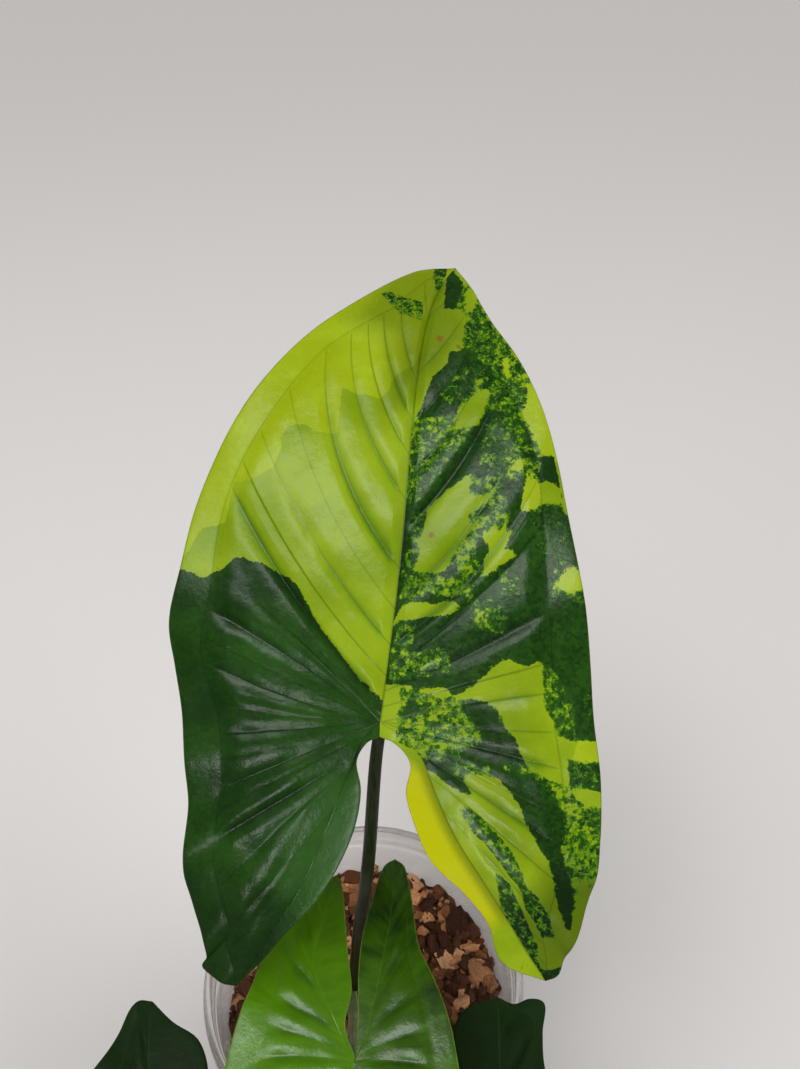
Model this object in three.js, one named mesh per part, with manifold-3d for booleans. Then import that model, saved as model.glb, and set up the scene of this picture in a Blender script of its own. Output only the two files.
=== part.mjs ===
// A climbing aroid with arrow-shaped leaves in a clear nursery pot, in millimetres, +Z up.
// The origin is the centre of the pot's underside. The tallest leaf faces -Y.
// Each leaf is a petiole and a blade. The petioles spring from one short stem in bark mix.

import * as THREE from 'three';
import { mergeVertices } from 'three/addons/utils/BufferGeometryUtils.js';
import Module from 'manifold-3d';

const wasm = await Module();
wasm.setup();

// Driving dimensions
const RIM_RADIUS = 60;
const POT_HEIGHT = 106;
const FOOT_RADIUS = 45.5;
const WALL = 1.2;
const FLOOR = 1.8;
const SOIL_LEVEL = 83;
const GAP = 0.3;
const BLADE_THICKNESS = 0.8;
const STEM_X = -5;
const STEM_Y = -4.5;
const STEM_RADIUS = 5;
const STEM_TOP = 97;
const STEM_BOTTOM = 55;
const ROUND_SIDES = 56;
const PLUG_SIDES = 36;
const STEM_SIDES = 16;

// A closed geometry whose shared corners are one vertex, with no collapsed triangles.
function welded(geometry) {
  const bare = geometry.clone();
  bare.deleteAttribute('normal');
  bare.deleteAttribute('uv');
  const merged = mergeVertices(bare, 1e-4);
  const source = merged.index.array;
  const kept = [];
  for (let i = 0; i < source.length; i += 3) {
    const [a, b, c] = source.slice(i, i + 3);
    if (a !== b && b !== c && c !== a) kept.push(a, b, c);
  }
  merged.setIndex(kept);
  return merged;
}

function toSolid(geometry) {
  const closed = welded(geometry);
  return new wasm.Manifold(new wasm.Mesh({
    numProp: 3,
    vertProperties: new Float32Array(closed.attributes.position.array),
    triVerts: new Uint32Array(closed.index.array),
  }));
}

function toGeometry(solid) {
  const mesh = solid.getMesh();
  const geometry = new THREE.BufferGeometry();
  geometry.setAttribute('position', new THREE.BufferAttribute(mesh.vertProperties, 3));
  geometry.setIndex(new THREE.BufferAttribute(mesh.triVerts, 1));
  return geometry;
}

// The biggest of the bodies that a cut leaves.
function mainBody(solid) {
  const bodies = solid.decompose();
  bodies.sort((a, b) => b.volume() - a.volume());
  return bodies[0];
}

// A profile of [radius, height] turned about the Z axis, from the axis below to the axis above.
function turned(profile, sides) {
  const points = profile.map(([radius, height]) => new THREE.Vector2(radius, height));
  return new THREE.LatheGeometry(points, sides).rotateX(Math.PI / 2);
}

// A smooth curve through points given as [x, y, z].
function curveThrough(points) {
  const corners = points.map((point) => new THREE.Vector3(...point));
  return new THREE.CatmullRomCurve3(corners, false, 'centripetal');
}

// A rod along a curve. radiusAt gives its radius at a place along it and an angle round it.
function rod(points, radiusAt, steps, sides) {
  const curve = curveThrough(points);
  const frames = curve.computeFrenetFrames(steps, false);
  const positions = [];
  const faces = [];
  for (let i = 0; i <= steps; i++) {
    const centre = curve.getPointAt(i / steps);
    for (let j = 0; j < sides; j++) {
      const angle = 2 * Math.PI * j / sides;
      const radius = radiusAt(i / steps, angle);
      const corner = centre.clone()
        .addScaledVector(frames.normals[i], radius * Math.cos(angle))
        .addScaledVector(frames.binormals[i], radius * Math.sin(angle));
      positions.push(...corner);
    }
  }
  const first = positions.length / 3;
  positions.push(...curve.getPointAt(0), ...curve.getPointAt(1));
  for (let j = 0; j < sides; j++) {
    const k = (j + 1) % sides;
    for (let i = 0; i < steps; i++) {
      const low = i * sides;
      const high = low + sides;
      faces.push(low + j, low + k, high + k, low + j, high + k, high + j);
    }
    const last = steps * sides;
    faces.push(first, k, j, first + 1, last + j, last + k);
  }
  const geometry = new THREE.BufferGeometry();
  geometry.setAttribute('position', new THREE.Float32BufferAttribute(positions, 3));
  geometry.setIndex(faces);
  return geometry;
}

// Repeatable random numbers from 0 to 1.
function randomFrom(seed) {
  let state = seed;
  return () => {
    state = (state * 1664525 + 1013904223) % 4294967296;
    return state / 4294967296;
  };
}

// The pot: one moulding with a stepped, rolled rim and drain holes in its floor and heel.
const WALL_SLOPE = 0.117;
const SHOULDER = 95;
const DRAIN_COUNT = 8;
const DRAIN_RADIUS = 4;
const DRAIN_CIRCLE = 27;
const SLOT_WIDTH = 5;
const SLOT_HEIGHT = 9;
const SLOT_LEVEL = 8.5;
const wallRadius = (height) => FOOT_RADIUS + WALL_SLOPE * height;

function potGeometry() {
  const lip = RIM_RADIUS;
  const shoulderIn = wallRadius(SHOULDER) - WALL;
  const collar = lip - 3;
  const profile = [
    [0, 0],
    [FOOT_RADIUS - 1.5, 0],
    [FOOT_RADIUS, 1.5],
    [wallRadius(SHOULDER - 1), SHOULDER - 1],
    [collar + WALL - 0.4, SHOULDER],
    [collar + WALL, POT_HEIGHT - 6.5],
    [lip - 0.5, POT_HEIGHT - 7],
    [lip, POT_HEIGHT - 1.6],
    [lip - 0.8, POT_HEIGHT - 0.3],
    [lip - 2, POT_HEIGHT],
    [collar, POT_HEIGHT - 1.2],
    [collar - 0.4, SHOULDER + WALL],
    [shoulderIn, SHOULDER],
    [wallRadius(FLOOR + 1.5) - WALL, FLOOR + 1.5],
    [FOOT_RADIUS - WALL - 1.5, FLOOR],
    [0, FLOOR],
  ];
  let pot = toSolid(turned(profile, ROUND_SIDES));
  for (let i = 0; i < DRAIN_COUNT; i++) {
    const angle = 2 * Math.PI * i / DRAIN_COUNT;
    const drain = new THREE.CylinderGeometry(DRAIN_RADIUS, DRAIN_RADIUS, 3 * FLOOR, 12).rotateX(Math.PI / 2);
    drain.translate(DRAIN_CIRCLE, 0, FLOOR / 2).rotateZ(angle);
    const slot = new THREE.BoxGeometry(8 * WALL, SLOT_WIDTH, SLOT_HEIGHT);
    slot.translate(FOOT_RADIUS, 0, SLOT_LEVEL).rotateZ(angle + Math.PI / DRAIN_COUNT);
    pot = pot.subtract(toSolid(drain)).subtract(toSolid(slot));
  }
  return toGeometry(pot);
}

// The stem: a short upright rootstock with swollen nodes, its lower half buried.
function stemProfile(extra) {
  const r = STEM_RADIUS + extra;
  return [
    [0, STEM_BOTTOM - extra],
    [r - 1.5, STEM_BOTTOM - extra],
    [r - 0.4, STEM_BOTTOM + 4],
    [r - 0.7, 70],
    [r, 74],
    [r - 0.6, 77],
    [r - 0.6, 85],
    [r + 0.2, 88],
    [r - 0.3, 91],
    [r - 0.3, STEM_TOP - 1.5],
    [r - 0.8, STEM_TOP + extra],
    [0, STEM_TOP + extra],
  ];
}

const stemGeometry = (extra = 0) => turned(stemProfile(extra), STEM_SIDES).translate(STEM_X, STEM_Y, 0);

// The roots: a crown under the stem from which cords run out and down through the bark mix.
const ROOT_COUNT = 7;
const ROOT_RADIUS = 2;
const ROOT_TIP_RADIUS = 1.1;
const ROOT_REACH = 33;
const ROOT_DEPTH = 8;
const CROWN_TOP = STEM_BOTTOM - GAP;
const CROWN_MIDDLE = CROWN_TOP - 7;

function rootsSolid(extra) {
  const crown = turned([
    [0, CROWN_TOP - 13 - extra],
    [3.5 + extra, CROWN_TOP - 12 - extra],
    [6.2 + extra, CROWN_MIDDLE],
    [4 + extra, CROWN_TOP + extra],
    [0, CROWN_TOP + extra],
  ], STEM_SIDES);
  let roots = toSolid(crown.translate(STEM_X, STEM_Y, 0));
  const random = randomFrom(11);
  for (let i = 0; i < ROOT_COUNT; i++) {
    const angle = 2 * Math.PI * (i + 0.3 * random()) / ROOT_COUNT;
    const reach = ROOT_REACH + 6 * random();
    const depth = ROOT_DEPTH + 14 * random();
    const at = (share, height, turn) => [
      STEM_X + (reach * Math.cos(angle + turn) - STEM_X) * share,
      STEM_Y + (reach * Math.sin(angle + turn) - STEM_Y) * share,
      height,
    ];
    const path = [
      at(0, CROWN_MIDDLE, 0),
      at(0.4, CROWN_MIDDLE - 2, 0.1),
      at(0.8, 0.67 * CROWN_MIDDLE, 0.25),
      at(1, depth, 0.5),
    ];
    const radiusAt = (share) => ROOT_RADIUS + (ROOT_TIP_RADIUS - ROOT_RADIUS) * share + extra;
    roots = roots.add(toSolid(rod(path, radiusAt, 6, 5)));
  }
  return roots;
}

// The bark mix: a plug that fills the pot, with a lumpy top and loose chips grown into it.
function soilLevel(x, y) {
  const broad = Math.sin(0.11 * x + 1.2) * Math.cos(0.09 * y - 0.4);
  const fine = Math.sin(0.34 * x - 0.21 * y) * Math.cos(0.29 * y + 0.13 * x + 2);
  return SOIL_LEVEL + 1.1 * broad + 0.7 * fine;
}

const CHIPS = 54;
const CHIP_SIZE = 3;
const CHIP_SPACING = 8;
const CHIP_CLEAR_OF_STEM = 13;
const CHIP_FIELD = wallRadius(SOIL_LEVEL) - WALL - 5.5;

// Angular chips, each within CHIP_FIELD of the pot's axis, apart from each other and the stem.
function chipSolids() {
  const random = randomFrom(5);
  const placed = [];
  const chips = [];
  while (placed.length < CHIPS) {
    const angle = 2 * Math.PI * random();
    const radius = CHIP_FIELD * Math.sqrt(random());
    const [x, y] = [radius * Math.cos(angle), radius * Math.sin(angle)];
    const crowded = placed.some(([px, py]) => Math.hypot(px - x, py - y) < CHIP_SPACING);
    if (crowded || Math.hypot(x - STEM_X, y - STEM_Y) < CHIP_CLEAR_OF_STEM) continue;
    placed.push([x, y]);
    const size = CHIP_SIZE * (1 + 0.6 * random());
    const chip = new THREE.IcosahedronGeometry(1, 0);
    chip.scale(size, size * (0.6 + 0.3 * random()), size * (0.45 + 0.25 * random()));
    chip.rotateX(0.9 * (random() - 0.5)).rotateY(0.9 * (random() - 0.5));
    chip.rotateZ(2 * Math.PI * random()).translate(x, y, soilLevel(x, y) + 0.2 * CHIP_SIZE);
    chips.push(toSolid(chip));
  }
  return chips;
}

function substrateGeometry() {
  const clear = WALL + GAP;
  const rings = [44, 33, 22, 11];
  const profile = [
    [0, FLOOR + GAP],
    [FOOT_RADIUS - clear - 1.5, FLOOR + GAP],
    [wallRadius(FLOOR + 3) - clear, FLOOR + 3],
    [wallRadius(SOIL_LEVEL) - clear, SOIL_LEVEL],
    ...rings.map((radius) => [radius, SOIL_LEVEL]),
    [0, SOIL_LEVEL],
  ];
  const plug = turned(profile, PLUG_SIDES);
  const position = plug.attributes.position;
  for (let i = 0; i < position.count; i++) {
    const onTop = position.getZ(i) > SOIL_LEVEL - 1;
    if (onTop) position.setZ(i, soilLevel(position.getX(i), position.getY(i)));
  }
  let substrate = toSolid(plug);
  for (const chip of chipSolids()) substrate = substrate.add(chip);
  substrate = substrate.subtract(toSolid(stemGeometry(GAP))).subtract(rootsSolid(GAP));
  return toGeometry(mainBody(substrate));
}

// A leaf blade lies in its own flat sheet first: q runs from the sinus, where the petiole joins,
// to the tip, and p across it. Veins leave the midrib and the two basal ribs at the stations,
// as shares of their length, and each meets the margin at the point of the same order.
// The margin runs from the tip down the front, round the fan of veins that leave the sinus, and
// along the outer side of the lobe to its end, then back along the inner side to the notch.
// The sheet is then bent on an arc along q, folded along the midrib and waved at the margin,
// and the lobe's inner side is lifted off the rib.
const LEAVES = {
  variegated: {
    sinus: [7.9, 6, 239],
    heading: 6,
    slope: 50,
    bend: 0.0026,
    wave: 1.2,
    tip: [12, 146.5],
    notch: [0.2, -4.2],
    stations: [0.86, 0.7, 0.54, 0.38, 0.23, 0.1, 0],
    ribStations: [0.08, 0.17, 0.28, 0.4, 0.52, 0.64, 0.76, 0.88, 1],
    rows: 5,
    colour: 0x5f8a24,
    left: {
      lift: 1.5,
      front: [[1.5, 143.5], [-14, 134.5], [-29, 121], [-44, 99.5], [-54, 79], [-60, 59], [-62, 39]],
      fan: [[-63.5, 23], [-61, 11], [-57, -3], [-55, -16], [-54, -26]],
      rib: [[-5, -4.5], [-9.5, -12], [-16.5, -26], [-24, -45], [-32, -66], [-37.5, -80.5]],
      outer: [
        [-54, -34], [-54, -42], [-53.5, -50], [-51, -58], [-47.5, -65.5], [-46.2, -72], [-48, -76.5],
        [-43, -79], [-37.5, -80.5],
      ],
      inner: [
        [-3.2, -6], [-5.7, -11], [-4, -19], [-5, -29.5], [-9, -41], [-15, -52], [-23, -62], [-29.5, -71],
      ],
    },
    right: {
      lift: 5,
      front: [[17, 138], [24, 126], [32, 114], [40, 97], [46, 79], [50, 62], [53.5, 46]],
      fan: [[56, 34], [58, 20], [59.5, 5], [62, -10], [63.3, -24]],
      rib: [[6, -3], [12, -8], [17, -18], [23, -29], [34, -44], [41, -54], [51, -68.5]],
      outer: [
        [63.3, -31], [62.8, -36], [62, -41], [60.7, -47], [59, -53.5], [57, -59], [55.8, -62.5], [54.5, -66],
        [51, -68.5],
      ],
      inner: [[5, -5.4], [9.5, -10], [9, -17.5], [12, -26], [17, -35], [26, -42.5], [33.5, -51], [38, -61.5]],
    },
  },
  young: {
    sinus: [0, -50, 155],
    heading: 182,
    slope: -12,
    bend: 0.004,
    wave: 0.8,
    tip: [0, 86],
    notch: [-0.3, -1.5],
    stations: [0.8, 0.6, 0.4, 0.2, 0],
    ribStations: [0.2, 0.4, 0.6, 0.8, 0.94, 1],
    rows: 3,
    colour: 0x3f7a12,
    left: {
      lift: 0.8,
      front: [[-12, 78], [-22, 62], [-29, 45], [-32.5, 28], [-33.5, 14]],
      fan: [[-31, 2], [-28, -11]],
      rib: [[-3, -6], [-5, -15], [-7, -26], [-9, -40], [-9.7, -61]],
      outer: [[-23.5, -22], [-18.5, -32], [-16.5, -43], [-14.5, -53], [-12.8, -58.7], [-9.7, -61]],
      inner: [[-0.6, -11.5], [0.2, -23], [-0.2, -34], [-3, -47], [-6.3, -58.3]],
    },
    right: {
      lift: -0.8,
      front: [[13, 78], [25, 62], [33, 44], [37, 26], [38, 12]],
      fan: [[37, 2], [35, -10]],
      rib: [[5, -8], [10, -16], [14.8, -25], [13, -38], [9.8, -54.5]],
      outer: [[32.5, -18.5], [30, -28.5], [23, -39], [16, -47.5], [12.8, -52.5], [9.8, -54.5]],
      inner: [[3.2, -9], [2, -19], [4, -29.5], [6, -42], [8, -51.5]],
    },
  },
  side_left: {
    sinus: [-56, -66, 116],
    heading: 205,
    slope: -12,
    bend: 0.004,
    wave: 1.2,
    tip: [0, 92],
    notch: [0, -3],
    stations: [0.8, 0.6, 0.4, 0.2, 0],
    ribStations: [0.2, 0.4, 0.6, 0.8, 1],
    rows: 3,
    colour: 0x1d3a18,
    left: {
      lift: 0.8,
      front: [[-11, 84], [-23, 68], [-32, 49], [-37, 31], [-39, 15]],
      fan: [[-38.5, 3], [-37, -8]],
      rib: [[-7, -6], [-14, -15], [-20, -26], [-24, -34]],
      outer: [[-35, -15], [-32.5, -21], [-30, -26.5], [-27.5, -31], [-24, -34]],
      inner: [[-2.5, -8], [-5, -15], [-9, -22], [-15, -29]],
    },
    right: {
      lift: 0.8,
      front: [[12, 84], [25, 68], [34, 48], [39, 30], [41, 14]],
      fan: [[40.5, 2], [39, -9]],
      rib: [[9, -6], [20, -16], [29, -27], [34, -35.5]],
      outer: [[38.2, -16], [38.7, -23], [39.4, -30], [38, -33.8], [34, -35.5]],
      inner: [[2.5, -10], [3, -24], [12, -32.3], [23.5, -33.2]],
    },
  },
  side_right: {
    sinus: [44, -74, 116],
    heading: 158,
    slope: -12,
    bend: 0.004,
    wave: 1.2,
    tip: [0, 96],
    notch: [0, -3],
    stations: [0.8, 0.6, 0.4, 0.2, 0],
    ribStations: [0.2, 0.4, 0.6, 0.75, 0.88, 1],
    rows: 3,
    colour: 0x1d3a18,
    left: {
      lift: 0.8,
      front: [[-12, 88], [-24, 71], [-31, 51], [-34, 32], [-34.5, 15]],
      fan: [[-33, 2], [-30, -12]],
      rib: [[-5, -10], [-12, -25], [-19, -40], [-24, -50.3]],
      outer: [[-28, -24], [-33, -35], [-37.8, -42.5], [-33.5, -45.6], [-28.2, -46.4], [-24, -50.3]],
      inner: [[-2, -10], [-2.5, -23], [-3, -36], [-5, -46], [-11, -51]],
    },
    right: {
      lift: 0.8,
      front: [[12, 88], [25, 70], [33, 50], [37, 31], [38, 14]],
      fan: [[37, 2], [35, -10]],
      rib: [[6, -9], [13, -20], [20, -34], [24, -42]],
      outer: [[33.5, -19], [32, -27], [30, -34], [28.5, -38], [27, -40.5], [24, -42]],
      inner: [[2, -9], [4, -18], [8, -28], [13, -35], [18, -39.5]],
    },
  },
};

const FOLD = 0.12;
const DROOP = 0.0016;
const PLEAT = 0.8;
const KEEL = 1;
const COLUMNS_PER_VEIN = 2;
const INNER_ROWS = 2;
const radians = (degrees) => degrees * Math.PI / 180;

// How far the midrib has swung sideways at q: it runs straight and then turns to the tip.
const midribOffset = (leaf, q) => leaf.tip[0] * Math.max(q / leaf.tip[1], 0) ** 4;

// A point of the flat sheet at height h above it, in the part's frame.
function onLeaf(leaf, p, q, h) {
  const start = radians(leaf.slope);
  const angle = start - leaf.bend * q;
  const along = (Math.sin(start) - Math.sin(angle)) / leaf.bend - h * Math.sin(angle);
  const rise = (Math.cos(angle) - Math.cos(start)) / leaf.bend + h * Math.cos(angle);
  const turn = radians(leaf.heading);
  return new THREE.Vector3(
    leaf.sinus[0] + p * Math.cos(turn) + along * Math.sin(turn),
    leaf.sinus[1] - p * Math.sin(turn) + along * Math.cos(turn),
    leaf.sinus[2] + rise,
  );
}

const flatCurve = (points) => curveThrough(points.map(([p, q]) => [p, q, 0]));

// A margin through points of the flat sheet, asked for by the points' order.
function marginThrough(points) {
  const curve = flatCurve(points);
  return (order) => curve.getPoint(order / (points.length - 1));
}

// One half's veins as pairs of a root on the midrib or rib and an end on the margin.
function veinsOf(leaf, half) {
  const midribAt = (q) => new THREE.Vector3(midribOffset(leaf, q), q, 0);
  const rib = flatCurve([[0, 0], ...half.rib]);
  const rootAt = (share) => (share < 0 ? rib.getPointAt(-share) : midribAt(share * leaf.tip[1]));
  const downRib = leaf.ribStations.map((share) => -share);
  const outerShares = [1, ...leaf.stations, ...half.fan.map(() => 0), ...downRib];
  const outerMargin = marginThrough([leaf.tip, ...half.front, ...half.fan, ...half.outer]);
  const innerMargin = marginThrough([leaf.notch, ...half.inner, half.rib.at(-1)]);
  const between = (list, margin) => {
    const pairs = [];
    const last = (list.length - 1) * COLUMNS_PER_VEIN;
    for (let k = 0; k <= last; k++) {
      const order = k / COLUMNS_PER_VEIN;
      const low = Math.min(Math.floor(order), list.length - 2);
      const share = list[low] + (list[low + 1] - list[low]) * (order - low);
      pairs.push({ order, root: rootAt(share), end: margin(order) });
    }
    return pairs;
  };
  return { outside: between(outerShares, outerMargin), inside: between([0, ...downRib], innerMargin) };
}

// The height of the sheet: a fold up from the midrib that droops again to the side, a wave that
// grows to the margin, pleats between the veins, and the lift of the inner margin off the rib.
function sheetHeight(leaf, p, q, order, share, width, lift) {
  const side = Math.abs(p - midribOffset(leaf, q));
  const wave = leaf.wave * share ** 3 * Math.sin(1.9 * order) * Math.min(width / 30, 1);
  const crest = (1 - Math.cos(2 * Math.PI * order)) / 2;
  const pleat = PLEAT * crest * 4 * share * (1 - share) * Math.min(width / 40, 1);
  return FOLD * side - DROOP * side ** 2 + wave + pleat + lift * share * Math.min(width / 10, 1);
}

// One closed blade: the same triangles above and below, and a wall along the free edge.
// Under the midrib and the ribs it is thicker, as a keel that thins out to the sides.
function bladeGeometry(leaf) {
  const above = [];
  const below = [];
  const known = new Map();
  const triangles = [];

  function corner(root, end, order, share, lift) {
    const flat = root.clone().lerp(end, share);
    const key = `${flat.x.toFixed(2)} ${flat.y.toFixed(2)}`;
    if (!known.has(key)) {
      const h = sheetHeight(leaf, flat.x, flat.y, order, share, root.distanceTo(end), lift);
      const keel = share === 0 ? KEEL * Math.min(1, 1.1 - Math.abs(flat.y) / leaf.tip[1]) : 0;
      known.set(key, above.length);
      above.push(onLeaf(leaf, flat.x, flat.y, h + BLADE_THICKNESS / 2));
      below.push(onLeaf(leaf, flat.x, flat.y, h - BLADE_THICKNESS / 2 - Math.max(keel, 0)));
    }
    return known.get(key);
  }

  function addStrip(pairs, rows, mirrored, lift) {
    const grid = pairs.map(({ order, root, end }) => (
      Array.from({ length: rows + 1 }, (_, j) => corner(root, end, order, j / rows, lift))
    ));
    for (let i = 0; i + 1 < grid.length; i++) {
      for (let j = 0; j < rows; j++) {
        const [a, b, c, d] = [grid[i][j], grid[i][j + 1], grid[i + 1][j + 1], grid[i + 1][j]];
        const pair = mirrored ? [[a, c, b], [a, d, c]] : [[a, b, c], [a, c, d]];
        triangles.push(...pair.filter(([x, y, z]) => x !== y && y !== z && z !== x));
      }
    }
  }

  for (const [half, mirrored] of [[leaf.left, false], [leaf.right, true]]) {
    const { outside, inside } = veinsOf(leaf, half);
    addStrip(outside, leaf.rows, mirrored, 0);
    addStrip(inside, INNER_ROWS, !mirrored, half.lift);
  }
  return closedSheet(triangles, above, below);
}

// Closes two like sheets of triangles with a wall along each edge that only one triangle has.
function closedSheet(triangles, above, below) {
  const free = new Map();
  for (const [a, b, c] of triangles) {
    for (const [from, to] of [[a, b], [b, c], [c, a]]) {
      if (!free.delete(`${to} ${from}`)) free.set(`${from} ${to}`, [from, to]);
    }
  }
  const count = above.length;
  const faces = triangles.flat();
  for (const [a, b, c] of triangles) faces.push(a + count, c + count, b + count);
  for (const [from, to] of free.values()) {
    faces.push(from, to + count, to, from, from + count, to + count);
  }
  const body = new THREE.BufferGeometry();
  const corners = [...above, ...below].flatMap((v) => [...v]);
  body.setAttribute('position', new THREE.Float32BufferAttribute(corners, 3));
  body.setIndex(faces);
  return body;
}

// The petioles: each path starts at the stem and ends just under its blade's sinus.
const underSinus = (leaf, drop) => onLeaf(leaf, 0, 0, -BLADE_THICKNESS / 2 - drop).toArray();
const SHEATH_END = 0.4;
const PETIOLE_SIDES = 10;

const PETIOLES = {
  variegated: {
    path: [
      [-3.6, -2.2, STEM_TOP + GAP], [-2.3, -2, 104], [-0.5, -1, 128], [1.2, 1, 152], [3.5, 3, 178],
      [6.6, 6.5, 224],
    ],
    radii: [2.6, 1.75],
    steps: 22,
    sheath: 1.3,
    colour: 0x2b3a1c,
  },
  young: {
    path: [[-5.4, -7.4, STEM_TOP + GAP], [-4, -14, 106], [-2, -28, 126], [-0.8, -42, 145]],
    radii: [2, 1.5],
    steps: 14,
    sheath: 0.8,
    colour: 0x6f7f4a,
  },
  side_left: {
    path: [[-7, -7, 87], [-17, -19, 99], [-33, -38, 110], [-47, -56, 113]],
    radii: [2.3, 1.6],
    steps: 14,
    sheath: 0.8,
    colour: 0x34441f,
  },
  side_right: {
    path: [[-1.5, -8, 87], [10, -20, 99], [24, -42, 110], [36, -61, 113]],
    radii: [2.3, 1.6],
    steps: 14,
    sheath: 0.8,
    colour: 0x34441f,
  },
};

// Round above. Low down two wings, the sheath, run up opposite sides of it and fade out.
function petioleGeometry(leaf, petiole) {
  const [low, high] = petiole.radii;
  const radiusAt = (share, angle) => {
    const fadeOut = Math.sqrt(Math.max(0, 1 - share / SHEATH_END));
    const fadeIn = Math.min(1, share * 12);
    const wing = Math.max(0, Math.cos(2 * angle + 0.6)) ** 3;
    return low + (high - low) * share + petiole.sheath * fadeIn * fadeOut * wing;
  };
  const path = [...petiole.path, underSinus(leaf, 4), underSinus(leaf, 1)];
  const solid = toSolid(rod(path, radiusAt, petiole.steps, PETIOLE_SIDES));
  return toGeometry(mainBody(solid.subtract(toSolid(stemGeometry(GAP)))));
}

function named(name, geometry, colour, roughness, extra = {}) {
  const material = new THREE.MeshStandardMaterial({ color: colour, roughness, metalness: 0, ...extra });
  const mesh = new THREE.Mesh(geometry, material);
  mesh.name = name;
  return mesh;
}

const plant = new THREE.Group();
plant.add(named('pot', potGeometry(), 0xe6e2e0, 0.25, { transparent: true, opacity: 0.35 }));
plant.add(named('substrate', substrateGeometry(), 0x4a3122, 0.95));
plant.add(named('roots', toGeometry(rootsSolid(0)), 0xc9b48a, 0.8));
plant.add(named('stem', stemGeometry(), 0x4f5a2c, 0.6));
for (const [name, leaf] of Object.entries(LEAVES)) {
  plant.add(named(`${name}_petiole`, petioleGeometry(leaf, PETIOLES[name]), PETIOLES[name].colour, 0.45));
  plant.add(named(`${name}_blade`, bladeGeometry(leaf), leaf.colour, 0.35));
}

export default plant;
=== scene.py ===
import math

import bmesh
import bpy
import numpy as np
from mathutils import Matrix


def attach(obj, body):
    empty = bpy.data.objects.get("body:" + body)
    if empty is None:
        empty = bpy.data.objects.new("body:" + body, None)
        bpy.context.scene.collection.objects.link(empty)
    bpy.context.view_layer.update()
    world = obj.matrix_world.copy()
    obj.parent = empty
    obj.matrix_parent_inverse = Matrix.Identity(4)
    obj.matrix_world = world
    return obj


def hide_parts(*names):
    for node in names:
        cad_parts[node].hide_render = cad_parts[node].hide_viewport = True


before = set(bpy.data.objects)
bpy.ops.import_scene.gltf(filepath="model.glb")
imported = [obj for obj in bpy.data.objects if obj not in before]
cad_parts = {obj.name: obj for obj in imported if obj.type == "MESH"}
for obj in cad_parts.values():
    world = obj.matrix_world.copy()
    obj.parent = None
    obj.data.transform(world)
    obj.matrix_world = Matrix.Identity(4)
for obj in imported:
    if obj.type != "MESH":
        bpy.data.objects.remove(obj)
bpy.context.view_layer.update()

# The pot: a round grower's pot, blow-thin clear polypropylene with a slight haze. It is moulded in
# one piece with a stepped collar and a rolled rim, eight drain holes in its floor and eight slots
# round its heel.
MM = 0.001
RIM_RADIUS = 60.0
POT_HEIGHT = 106.0
FOOT_RADIUS = 45.5
WALL = 1.2
FLOOR = 1.8
WALL_SLOPE = 0.117
SHOULDER = 95.0
HEEL_RADIUS = 1.5
COLLAR_STEP = 3.0
BAND_DEPTH = 6.4
ROLL_RADIUS = 1.6
DRAIN_COUNT = 8
DRAIN_RADIUS = 4.0
DRAIN_CIRCLE = 27.0
SLOT_WIDTH = 5.0
SLOT_HEIGHT = 9.0
SLOT_LEVEL = 8.5
POT_SIDES = 192


def paint(red, green, blue):
    """A colour given as on a screen, 0 to 255 a channel, as the linear values that shaders use."""
    share = np.array([red, green, blue]) / 255
    linear = np.where(share <= 0.04045, share / 12.92, ((share + 0.055) / 1.055) ** 2.4)
    return (*linear.tolist(), 1.0)


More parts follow.
